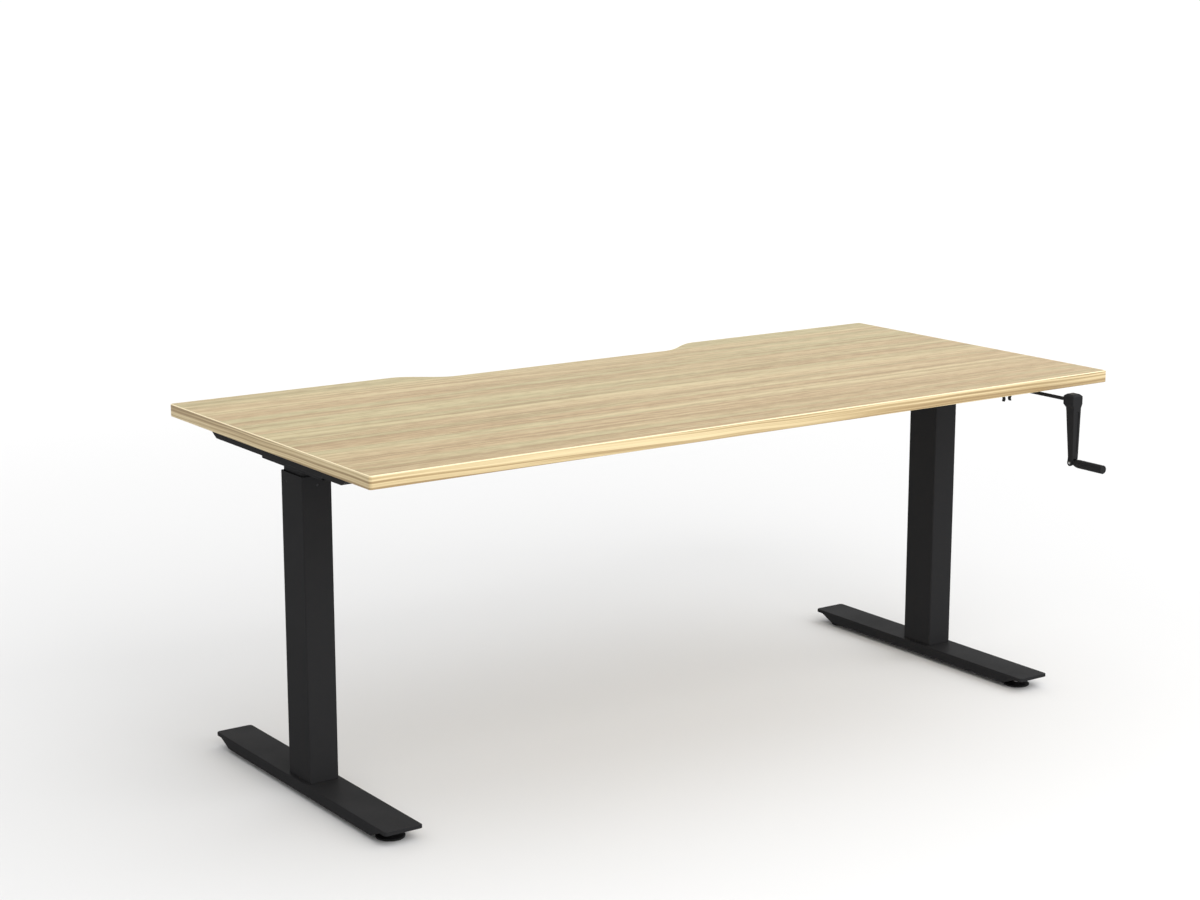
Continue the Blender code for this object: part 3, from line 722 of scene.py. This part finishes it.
def make_foot(side):
    """Folded steel beam, open below, with a thin lip at each end."""
    low, high, size, middle = size_of(side + "_foot_beam")
    lip = 0.007
    fold = 0.0020
    corner = 0.006
    undercut_start, undercut_end = 0.022, 0.054
    half_length, half_width = size.y / 2, size.x / 2
    stations = []
    for angle in range(90, -1, -15):
        turn = math.radians(angle)
        stations.append((half_length - corner + corner * math.sin(turn),
                         half_width - corner + corner * math.cos(turn)))
    for from_end in (0.014, undercut_start, 0.030, 0.046, undercut_end, 0.070):
        stations.append((half_length - from_end, half_width))

    def rim(y):
        """Height of the sides' lower edge, which rises towards each end."""
        from_end = half_length - abs(y)
        share = (undercut_end - from_end) / (undercut_end - undercut_start)
        return low.z + (high.z - lip - low.z) * min(1.0, max(0.0, share))

    rings = []
    for y, reach in [(-y, w) for y, w in stations] + [(y, w) for y, w in reversed(stations)]:
        path = [(-reach, rim(y)), (-reach, high.z), (reach, high.z), (reach, rim(y))]
        rings.append([(middle.x + x, middle.y + y, z) for x, z in fillet(path, fold, steps=6)])
    bm = loft(rings, closed=False)
    if max(bm.faces, key=lambda face: face.calc_center_median().z).normal.z < 0:
        bmesh.ops.reverse_faces(bm, faces=bm.faces)
    beam = to_object(side + "_foot", bm)
    shell = beam.modifiers.new("Sheet", "SOLIDIFY")
    shell.thickness = SHEET
    shell.offset = -1
    shell.use_even_offset = True
    soften(beam, 0.0004, 2, 40)
    piece(smooth(beam, 40), BLACK, "base", side + "_foot_beam")
    for end in ENDS:
        spot = Vector((middle.x, size_of(f"{side}_{end}_leveller_pad").middle.y, 0))
        boss = to_object(f"{side}_{end}_rivet_nut", lathe([
            (0.0082, high.z - 0.003), (0.0088, high.z - 0.004), (0.0088, 0.0135),
            (0.0080, 0.0125), (0.0052, 0.0125), (0.0044, 0.0132), (0.0044, high.z - 0.003)]))
        boss.matrix_world = Matrix.Translation(spot)
        piece(smooth(boss), STEEL, "base")
    for index, (dx, dy) in enumerate(((-1, -1), (1, -1), (-1, 1), (1, 1))):
        spot = Vector((middle.x + dx * FOOT_BOLT_X, middle.y + dy * FOOT_BOLT_Y, high.z - 0.0042))
        fastener(f"{side}_foot_bolt_{index}", HEX, spot, "down", "base", STEEL, 0.3 * index)


def make_leveller(side, end):
    """Moulded levelling pad and its threaded stud with a nut at its foot."""
    name = f"{side}_{end}_leveller"
    pad_box = size_of(name + "_pad")
    radius = pad_box.size.x / 2
    rise = pad_box.high.z
    spot = Vector((pad_box.middle.x, pad_box.middle.y, 0))
    pad = to_object(name + "_foot", lathe([
        (0, 0), (radius * 0.93, 0), (radius * 0.985, 0.0004), (radius, 0.0013),
        (radius, 0.0030), (radius * 0.985, 0.0038), (radius * 0.93, 0.0044),
        (radius * 0.50, 0.0052), (radius * 0.40, rise * 0.95), (radius * 0.36, rise),
        (0, rise)], 64))
    pad.matrix_world = Matrix.Translation(spot)
    piece(smooth(pad, 40), PLASTIC, name, name + "_pad")
    low, high, _, _ = size_of(name + "_stud")
    nut_high = low.z + 0.0025
    core, crest = 0.0036, 0.0041
    pitch = 0.00125
    profile = [(0, nut_high - 0.001), (core, nut_high - 0.001)]
    z = nut_high + 0.0003
    while z < high.z - 0.002:
        profile += [(core, z), (crest, z + pitch * 0.4), (crest, z + pitch * 0.55)]
        z += pitch
    profile += [(core, high.z - 0.001), (core * 0.8, high.z), (0, high.z)]
    stud = to_object(name + "_thread", lathe(profile, 32))
    join(stud, hexagon(0.011, low.z, nut_high))
    stud.matrix_world = Matrix.Translation(spot)
    piece(smooth(stud, 30), STEEL, name, name + "_stud")


# ---- head and frame

def extrude_section(section, start, end, axis):
    """Closed section pushed along Y (section in X and Z) or along X (section in Y and Z)."""
    if axis == "Y":
        return loft([[(a, along, b) for a, b in section] for along in (start, end)])
    return loft([[(along, a, b) for a, b in section] for along in (start, end)])


def make_head(side, sign):
    """Folded channel on top of a column, with a hole for the cross shaft."""
    low, high, size, middle = size_of(side + "_head_channel")
    path = [(low.x, high.z), (low.x, low.z), (high.x, low.z), (high.x, high.z)]
    section = thicken(fillet(path, BEND, steps=4), SHEET)
    channel = to_object(side + "_head", extrude_section(section, low.y, high.y, "Y"))
    shaft_hole = Vector((middle.x - sign * size.x / 2, COLUMN_Y, CRANK.z))
    cut(channel, round_bar(HEAD_HOLE, -0.01, 0.01, shaft_hole, "right"))
    soften(channel, 0.0004, 2)
    piece(smooth(channel), BLACK, "top", side + "_head_channel")


def trough_profile(low, high, wall, above):
    """Outline in Y and Z of a trough with sloped ends, inset by a wall, open above."""
    slope = math.tan(ARM_SLOPE)
    floor = low.z + wall
    shift = wall / math.sin(ARM_SLOPE)
    run = (high.z - floor) / slope
    reach = above / slope
    start, end = low.y + shift, high.y - shift
    return [(start - reach, high.z + above), (start + run, floor),
            (end - run, floor), (end + reach, high.z + above)]


def make_arm(side):
    """Folded support arm: an upward trough with sloped closed ends and screws in its floor."""
    low, high, _, middle = size_of(side + "_support_arm")
    above = 0.006
    outer = trough_profile(low, high, 0, above)
    arm = to_object(side + "_arm", extrude_section(outer, low.x, high.x, "X"))
    soften(arm, BEND, 3, 20)
    settle(arm)
    inner = trough_profile(low, high, SHEET, above * 2)
    cut(arm, extrude_section(inner, low.x + SHEET, high.x - SHEET, "X"),
        block((low.x - 1, low.y - 1, high.z), (high.x + 1, high.y + 1, high.z + 1)))
    for along in ARM_HOLES:
        cut(arm, round_bar(ARM_HOLE, -0.01, 0.01, Vector((middle.x, COLUMN_Y + along, low.z))))
    soften(arm, 0.0003, 2)
    piece(smooth(arm), BLACK, "top", side + "_support_arm")
    for index, along in enumerate(ARM_HOLES):
        spot = Vector((middle.x, COLUMN_Y + along, low.z + SHEET))
        fastener(f"{side}_arm_screw_{index}", PAN, spot, "down", "top", DARK_STEEL, 0.4 * index)


def make_rails():
    """Two cross rails, welded to the head channels, with the crank's hole in the front one."""
    for name in ENDS:
        node = name + "_cross_rail"
        low, high, size, middle = size_of(node)
        outline = rounded_rectangle(size.y, size.z, 0.003, 5)
        rings = []
        for inset, x in rim_section(low.x, high.x, TUBE_WALL, 0.0004):
            ring = offset(outline, inset)
            rings.append([(x, middle.y + y, middle.z + z) for y, z in ring])
        rail = to_object(name + "_rail", loft(rings, wrap=True))
        if name == "front":
            spot = Vector((CRANK.x, middle.y, CRANK.z))
            cut(rail, round_bar(RAIL_HOLE, -0.03, 0.03, spot, "front", 40))
        piece(smooth(rail, 30), BLACK, "top", node)
        for side, sign in SIDES:
            x = high.x if sign > 0 else low.x
            bead_ring(f"{side}_{name}_rail_weld", outline,
                      Vector((x - sign * 0.0012, middle.y, middle.z)))


def bead_ring(name, outline, centre):
    """Weld bead round the end of a rail, in the YZ plane."""
    rings = []
    count = 8
    for step in range(count):
        angle = 2 * math.pi * step / count
        out = 0.0006 + 0.0013 * math.cos(angle)
        along = 0.0012 * math.sin(angle)
        ring = offset(outline, -out)
        rings.append([(centre.x + along, centre.y + y, centre.z + z) for y, z in ring])
    bead = to_object(name, loft(rings, wrap=True))
    piece(smooth(bead, 60), BLACK, "top")


# ---- drive

def make_gear(name, node, place, turn, body, hub_radius, hub_end, bore):
    """Straight mitre gear about its own Z with its cone's tip at the origin."""
    large, small, gap, back = 0.0110, 0.0075, 0.0003, 0.0015
    per_tooth = 6
    count = 18 * per_tooth

    def ring(radius, height, depth=0.0):
        """Toothed circle, or a plain one if its teeth have no depth."""
        points = []
        for index in range(count):
            on_crest = 0.15 < (index % per_tooth) / per_tooth < 0.5
            reach = radius if on_crest else radius - depth
            angle = 2 * math.pi * index / count
            points.append((reach * math.cos(angle), reach * math.sin(angle), height))
        return points

    gear = loft([
        ring(bore, -small - gap), ring(small - 0.0012, -small - gap),
        ring(small, -small - gap, 0.0012), ring(large, -large - gap, 0.0016),
        ring(large - 0.0018, -large - gap - back), ring(hub_radius, -large - gap - back),
        ring(hub_radius, hub_end), ring(bore, hub_end)], wrap=True)
    gear = to_object(name, placed(gear, place, turn))
    piece(smooth(gear, 30), STEEL, body, node)


def make_drive():
    """Cross shaft and the mitre gears at its two ends and at the crank."""
    low, high, _, _ = size_of("cross_shaft")
    shaft = to_object("hex_cross_shaft", placed(hexagon(SHAFT_ACROSS, low.x, high.x),
                                                Vector((0, COLUMN_Y, CRANK.z)), ALONG_X))
    soften(shaft, 0.0005, 2)
    piece(smooth(shaft), STEEL, "shaft", "cross_shaft")
    for side, sign in SIDES:
        column = joint_point(side + "_screw_turn")
        make_gear(side + "_shaft_gear", side + "_shaft_bevel", column,
                  Matrix.Rotation(sign * math.pi / 2, 4, "Y"), "shaft", 0.009, -0.0195, 0.0060)
        make_gear(side + "_screw_gear", side + "_screw_bevel", column,
                  UPRIGHT, side + "_screw", 0.008, -0.023, 0.003)
    make_gear("crank_shaft_gear", "crank_shaft_bevel", CRANK, FACING["right"],
              "shaft", 0.009, -0.0195, 0.0060)


def housing(name, node):
    """Cast gearbox body with rounded edges, open above."""
    low, high, _, _ = size_of(node)
    body = to_object(name, block(low, high))
    soften(body, 0.0025, 4)
    settle(body)
    cut(body, block(low + Vector((0.003, 0.003, 0.004)), high + Vector((-0.003, -0.003, 0.01))))
    return body


def make_gearboxes():
    """Gearboxes at the crank and at the head of each column, with their covers."""
    for side, sign in SIDES:
        node = side + "_gearbox_housing"
        body = housing(side + "_gearbox", node)
        column = joint_point(side + "_screw_turn")
        bore = Vector((column.x - sign * 0.027, COLUMN_Y, CRANK.z))
        cut(body, round_bar(GEARBOX_HOLE, -0.012, 0.012, bore, "right"),
            round_bar(GEARBOX_HOLE, -THROUGH, THROUGH, Vector((column.x, COLUMN_Y, 0.62))))
        piece(smooth(body, 30), ZINC, "top", node)
        make_cover(side + "_gearbox_lid", side + "_gearbox_cover")
    node = "crank_gearbox_housing"
    low = size_of(node).low
    body = housing("crank_gearbox", node)
    cut(body, round_bar(GEARBOX_HOLE, -THROUGH, THROUGH, CRANK, "right"),
        round_bar(SOCKET_HOLE, 0.0, 0.06, CRANK, "front", 40))
    piece(smooth(body, 30), ZINC, "top", node)
    make_cover("crank_gearbox_lid", "crank_gearbox_cover")
    for index, (dx, dy) in enumerate(((0.006, 0.006), (0.006, 0.040), (0.040, 0.006),
                                      (0.040, 0.040))):
        spot = Vector((low.x + dx, low.y + dy, low.z))
        fastener(f"gearbox_screw_{index}", socket_head(0.0032, 0.0022, 0.003), spot, "down",
                 "top", DARK_STEEL)


def make_cover(name, node):
    plate = to_object(name, plate_in(size_of(node), 0.003))
    soften(plate, 0.0004, 2)
    piece(smooth(plate), ZINC, "top", node)


def make_lift_screw(side):
    """Threaded lift screw with a plain neck above its bearing."""
    node = side + "_lead_screw"
    low, high, size, middle = size_of(node)
    radius = size.x / 2
    core = radius - 0.0012
    neck = 0.006
    pitch = 0.005
    shoulder = size_of(side + "_screw_bearing").low.z
    profile = [(0, low.z), (core, low.z), (radius - 0.0006, low.z + 0.0006)]
    z = low.z + 0.001
    while z < shoulder - 0.010:
        profile += [(radius, z), (radius, z + pitch * 0.4),
                    (core, z + pitch * 0.55), (core, z + pitch * 0.85)]
        z += pitch
    profile += [(radius, shoulder - 0.006), (radius, shoulder - 0.0004),
                (neck, shoulder - 0.0004), (neck, high.z), (0, high.z)]
    screw = to_object(side + "_lift_screw", lathe(profile, 24))
    screw.matrix_world = Matrix.Translation(Vector((middle.x, middle.y, 0)))
    piece(smooth(screw, 30), STEEL, side + "_screw", node)


def make_turned_ring(node, wall, material):
    """Round tube or nut with softened rims, fixed to the base."""
    low, high, size, middle = size_of(node)
    section = rim_section(low.z, high.z, wall, 0.0004)
    ring = to_object(node + "_turned", lathe([(size.x / 2 - inset, z) for inset, z in section], 40))
    ring.matrix_world = Matrix.Translation(Vector((middle.x, middle.y, 0)))
    piece(smooth(ring), material, "base", node)


def make_base_plate(side):
    """Plate in the foot of the outer column, with four bolt holes."""
    box = size_of(side + "_base_plate")
    plate = to_object(side + "_base_plate_block", plate_in(box, 0.003))
    for dx in (-1, 1):
        for dy in (-1, 1):
            spot = box.middle + Vector((dx * FOOT_BOLT_X, dy * FOOT_BOLT_Y, 0))
            cut(plate, round_bar(FOOT_BOLT_HOLE, -THROUGH, THROUGH, spot, "up", 24))
    soften(plate, 0.0004, 2)
    piece(smooth(plate), STEEL, "base", side + "_base_plate")


def make_screw_bearing(side):
    """Block in the head of the inner column that the lift screw hangs from."""
    box = size_of(side + "_screw_bearing")
    bearing = to_object(side + "_screw_bearing_block", plate_in(box, 0.001))
    cut(bearing, round_bar(BEARING_HOLE, -THROUGH, THROUGH, box.middle))
    soften(bearing, 0.0004, 2)
    piece(smooth(bearing), ZINC, "top", side + "_screw_bearing")


def make_hidden_columns():
    """Everything that works inside the two columns."""
    for side, _ in SIDES:
        make_lift_screw(side)
        make_turned_ring(side + "_nut_tube", 0.002, STEEL)
        make_turned_ring(side + "_lift_nut", 0.0057, BRASS)
        make_base_plate(side)
        make_screw_bearing(side)


# ---- crank

def make_crank_rod():
    """Geared socket, and the hexagonal rod that slides in it."""
    hub_end = size_of("crank_socket").low.y - CRANK.y
    make_gear("crank_drive_gear", "crank_socket", CRANK, FACING["back"],
              "crank_drive", 0.008, hub_end, 0.0045)
    low, high, _, _ = size_of("crank_rod")
    rod = to_object("crank_hex_rod", placed(hexagon(ROD_ACROSS, -high.y, -low.y),
                                            Vector((CRANK.x, 0, CRANK.z)), ALONG_Y))
    soften(rod, 0.0005, 3)
    piece(smooth(rod), BLACK, "crank_handle", "crank_rod")


def make_crank_arm():
    """Moulded lever: a rounded hub, a tapering blade and a fork for the folding grip."""
    low, high, size, _ = size_of("crank_arm")
    hub = size.x
    hub_front = low.y
    hub_top = high.z - CRANK.z
    drop = CRANK.z - GRIP_PIN.z
    neck = 0.0223
    foot_width, cheek = 0.0170, 0.0068
    corner = 0.0013
    rings = []

    def station(z, width, depth, front, radius=corner):
        """Cross section of the lever at a height below or above the crank's axis."""
        centre_y = front + depth / 2
        ring = rounded_rectangle(width, depth, min(radius, 0.45 * min(width, depth)), 4)
        rings.append([(CRANK.x + x, centre_y + y, CRANK.z + z) for x, y in ring])

    for down, inset in ((0, 0.0054), (0.0003, 0.0046), (0.0040, 0.0005), (0.0046, 0.0001),
                        (0.0056, 0.0)):
        station(hub_top - down, hub - 2 * inset, hub - 2 * inset, hub_front + inset)
    neck_step = 0.0005
    neck_z = -0.0170
    slack = neck_step / (hub - neck)
    for z, width in ((-0.0065, hub), (-0.0080, hub - 0.0005), (-0.0128, 0.0240),
                     (-0.0145, 0.0227), (neck_z, neck)):
        station(z, width, width, hub_front + slack * (hub - width))
    steps = 10
    for step in range(1, steps + 1):
        share = step / steps
        z = neck_z + (0.012 - drop - neck_z) * share
        width = neck + (foot_width - neck) * share
        depth = neck + (2 * cheek - neck) * share
        station(z, width, depth, hub_front + neck_step * (1 + share), corner - 0.0001 * share)
    for angle in range(0, 90, 15):
        turn = math.radians(angle)
        station(-drop - cheek * math.sin(turn), foot_width, 2 * cheek * math.cos(turn),
                GRIP_PIN.y - cheek * math.cos(turn), 0.0012)
    arm = to_object("crank_lever", loft(rings))
    slot = 0.0043
    pocket = [(-0.0048, -0.022), (0.0048, -0.022), (0.0034, -0.108), (-0.0034, -0.108)]
    pocket = fillet(pocket, 0.003, closed=True)
    cut(arm,
        block((CRANK.x - slot, GRIP_PIN.y - 0.02, GRIP_PIN.z - 0.02),
              (CRANK.x + slot, GRIP_PIN.y + 0.02, GRIP_PIN.z + 0.0085)),
        round_bar(PIN_HOLE, -0.02, 0.02, GRIP_PIN, "right", 24),
        placed(slab(pocket, -0.0006, 0.01), Vector((CRANK.x, hub_front + 0.0012, CRANK.z)),
               FACING["front"]),
        placed(hexagon(ROD_POCKET_ACROSS, -0.0203, 0.01), Vector((CRANK.x, high.y, CRANK.z)),
               FACING["back"]))
    piece(smooth(arm, 28), PLASTIC, "crank_handle", "crank_arm")
    half = size_of("grip_pivot_pin").size.x / 2
    head = [(0, half), (0.0012, half - 0.00005), (0.0022, half - 0.0003),
            (0.0029, half - 0.0008), (0.002, half - 0.0009)]
    profile = head + [(radius, -along) for radius, along in reversed(head)]
    pin = to_object("grip_rivet", placed(lathe(profile, 32), GRIP_PIN, FACING["right"]))
    piece(smooth(pin), STEEL, "crank_handle", "grip_pivot_pin")


def make_grip():
    """Turned grip that spins on a spindle, and the spindle with its folding eye."""
    low, high, size, _ = size_of("grip_sleeve")
    root = GRIP_PIN.y - high.y
    tip = GRIP_PIN.y - low.y
    radius = size.x / 2
    neck, neck_end, swell_end, rounding = 0.0068, 0.0006, 0.0120, 0.002
    profile = [(0.0040, root), (0.0060, root), (neck, root + neck_end)]
    steps = 8
    for step in range(1, steps + 1):
        share = step / steps
        profile.append((neck + (radius - neck) * math.sin(math.pi / 2 * share),
                        root + neck_end + (swell_end - neck_end) * share))
    for share in (0.2, 0.4, 0.6, 0.8):
        profile.append((radius, root + swell_end + (tip - root - 0.018) * share))
    for angle in range(0, 91, 15):
        turn = math.radians(angle)
        profile.append((radius - rounding * (1 - math.cos(turn)),
                        tip - rounding * (1 - math.sin(turn))))
    profile += [(0.0062, tip), (0.0060, tip - 0.0004), (0.0056, tip - 0.0005),
                (0.0004, tip - 0.0005), (0.0004, tip - 0.004), (0.0040, tip - 0.005)]
    grip = to_object("grip_barrel", placed(lathe(profile, 56), GRIP_PIN, FACING["front"]))
    piece(smooth(grip, 30), SOFT_PLASTIC, "grip", "grip_sleeve")
    length = GRIP_PIN.y - size_of("grip_spindle").low.y
    axle = [(0, 0), (0.0035, 0), (0.0035, length - 0.0005), (0.003, length), (0, length)]
    spindle = to_object("grip_axle", placed(lathe(axle, 32), GRIP_PIN, FACING["front"]))
    join(spindle, round_bar(0.0062, -0.004, 0.004, GRIP_PIN, "right", 40))
    cut(spindle, round_bar(PIN_HOLE, -0.02, 0.02, GRIP_PIN, "right", 24))
    piece(smooth(spindle, 30), DARK_STEEL, "grip_holder", "grip_spindle")


def make_guide():
    """Guide that carries the crank rod behind the desktop's front edge."""
    box = size_of("crank_guide")
    low, high, _, middle = box
    plate = to_object("crank_rod_guide", plate_in(box, 0.004, high.z - 0.003))
    boss = fillet([(-0.0075, low.z), (0.0075, low.z), (0.0100, high.z - 0.001),
                   (-0.0100, high.z - 0.001)], 0.003, closed=True)
    join(plate, loft([[(middle.x + x, y, z) for x, z in boss] for y in (high.y, low.y)]))
    cut(plate, round_bar(GUIDE_HOLE, -0.05, 0.05, Vector((CRANK.x, middle.y, CRANK.z)), "front"))
    soften(plate, 0.0005, 3, 40)
    piece(smooth(plate), PLASTIC, "top", "crank_guide")
    for sign in (-1, 1):
        spot = Vector((middle.x + sign * 0.016, middle.y, high.z - 0.003))
        fastener(f"guide_screw_{sign + 1}", PAN, spot, "down", "top", DARK_STEEL, 0.5)


def make_clip():
    """Clip with two sprung prongs that holds the crank rod when it is pulled out."""
    low, high, _, middle = size_of("crank_clip")
    plate = 0.0012
    right = fillet([(0.0076, -plate), (0.0054, -0.0058), (0.0076, -0.0115), (0.0112, -0.0115),
                    (0.0094, -0.0058), (0.0112, -plate), (0.0112, 0)], 0.003, steps=4)
    outline = right + [(-x, z) for x, z in reversed(right)]
    clip = to_object("crank_park_clip", loft(
        [[(middle.x + x, y, high.z + z) for x, z in outline] for y in (low.y, high.y)]))
    soften(clip, 0.0003, 2)
    piece(smooth(clip), PLASTIC, "top", "crank_clip")


# ---- stage

def studio_floor():
    """Pale matt floor, painted darker near the desk as painted shade round it, whiter away from it.
    """
    finish = Finish("studio_floor", (0.85, 0.85, 0.85, 1.0), 0.9, specular=0.0)
    distance = finish.node("ShaderNodeVectorMath", {0: finish.place}, operation="LENGTH")
    # Painted shade: the floor's own colour is darker within 1.5 m of the desk, which deepens the
    # shadow under it, and it rises to near white by 5 m.
    colour = finish.mix(finish.spread(distance.outputs["Value"], 1.5, 5.0),
                        (0.77, 0.77, 0.77, 1.0), (0.95, 0.95, 0.95, 1.0))
    finish.use("Base Color", colour)
    return finish.material


def make_stage():
    floor = to_object("floor", slab([(-150, -150), (150, -150), (150, 150), (-150, 150)],
                                     -0.02, -HAIR))
    floor.data.materials.append(studio_floor())


def add_light(name, place, target, size, power):
    data = bpy.data.lights.new(name, "AREA")
    data.shape = "RECTANGLE"
    data.size, data.size_y = size
    data.energy = power
    light = add_object(name, data)
    light.location = place
    aim = Vector(target) - Vector(place)
    light.rotation_euler = aim.to_track_quat("-Z", "Y").to_euler()


def make_lights():
    """Three soft boxes in a room that is lighter on the right, and plain white when seen."""
    world = bpy.data.worlds.new("studio")
    world.use_nodes = True
    nodes, link = world.node_tree.nodes, world.node_tree.links.new
    lean = nodes.new("ShaderNodeVectorMath")
    lean.operation = "DOT_PRODUCT"
    lean.inputs[1].default_value = (0.85, -0.30, 0.0)
    brightness = nodes.new("ShaderNodeMapRange")
    for socket, level in (("From Min", -0.85), ("From Max", 0.35), ("To Min", 0.45),
                          ("To Max", 1.42)):
        brightness.inputs[socket].default_value = level
    seen = nodes.new("ShaderNodeMix")
    seen.inputs["B"].default_value = 1.0
    background = nodes["Background"]
    background.inputs["Color"].default_value = (1, 1, 1, 1)
    link(nodes.new("ShaderNodeTexCoord").outputs["Generated"], lean.inputs[0])
    link(lean.outputs["Value"], brightness.inputs["Value"])
    link(brightness.outputs["Result"], seen.inputs["A"])
    link(nodes.new("ShaderNodeLightPath").outputs["Is Camera Ray"], seen.inputs["Factor"])
    link(seen.outputs["Result"], background.inputs["Strength"])
    bpy.context.scene.world = world
    add_light("key", (2.6, -0.6, 2.6), (0.9, 0, 0.6), (1.5, 1.5), 7)
    add_light("front", (2.9, -3.9, 1.1), (0, 0, 0.45), (3.0, 2.0), 18)
    add_light("high", (-0.5, -3.2, 3.2), (0, 0, 0.3), (2.2, 2.2), 56)


def make_camera():
    data = bpy.data.cameras.new("camera")
    data.sensor_width = 36.0
    data.lens = 70.5
    camera = add_object("camera", data)
    camera.location = (-2.8184, DESK_MIDDLE.y - 3.8286, DESK_HIGH.z + 0.8793)
    camera.rotation_euler = (math.radians(90 - 12.033), 0, math.radians(-34.966))
    bpy.context.scene.camera = camera


make_camera()
make_lights()
make_stage()
make_top()
for side_name, side_sign in SIDES:
    make_column(side_name, side_sign)
    make_foot(side_name)
    make_head(side_name, side_sign)
    make_arm(side_name)
    for end_name in ENDS:
        make_leveller(side_name, end_name)
make_rails()
make_drive()
make_gearboxes()
make_hidden_columns()
make_crank_rod()
make_crank_arm()
make_grip()
make_guide()
make_clip()
bpy.context.scene.view_settings.view_transform = "Standard"
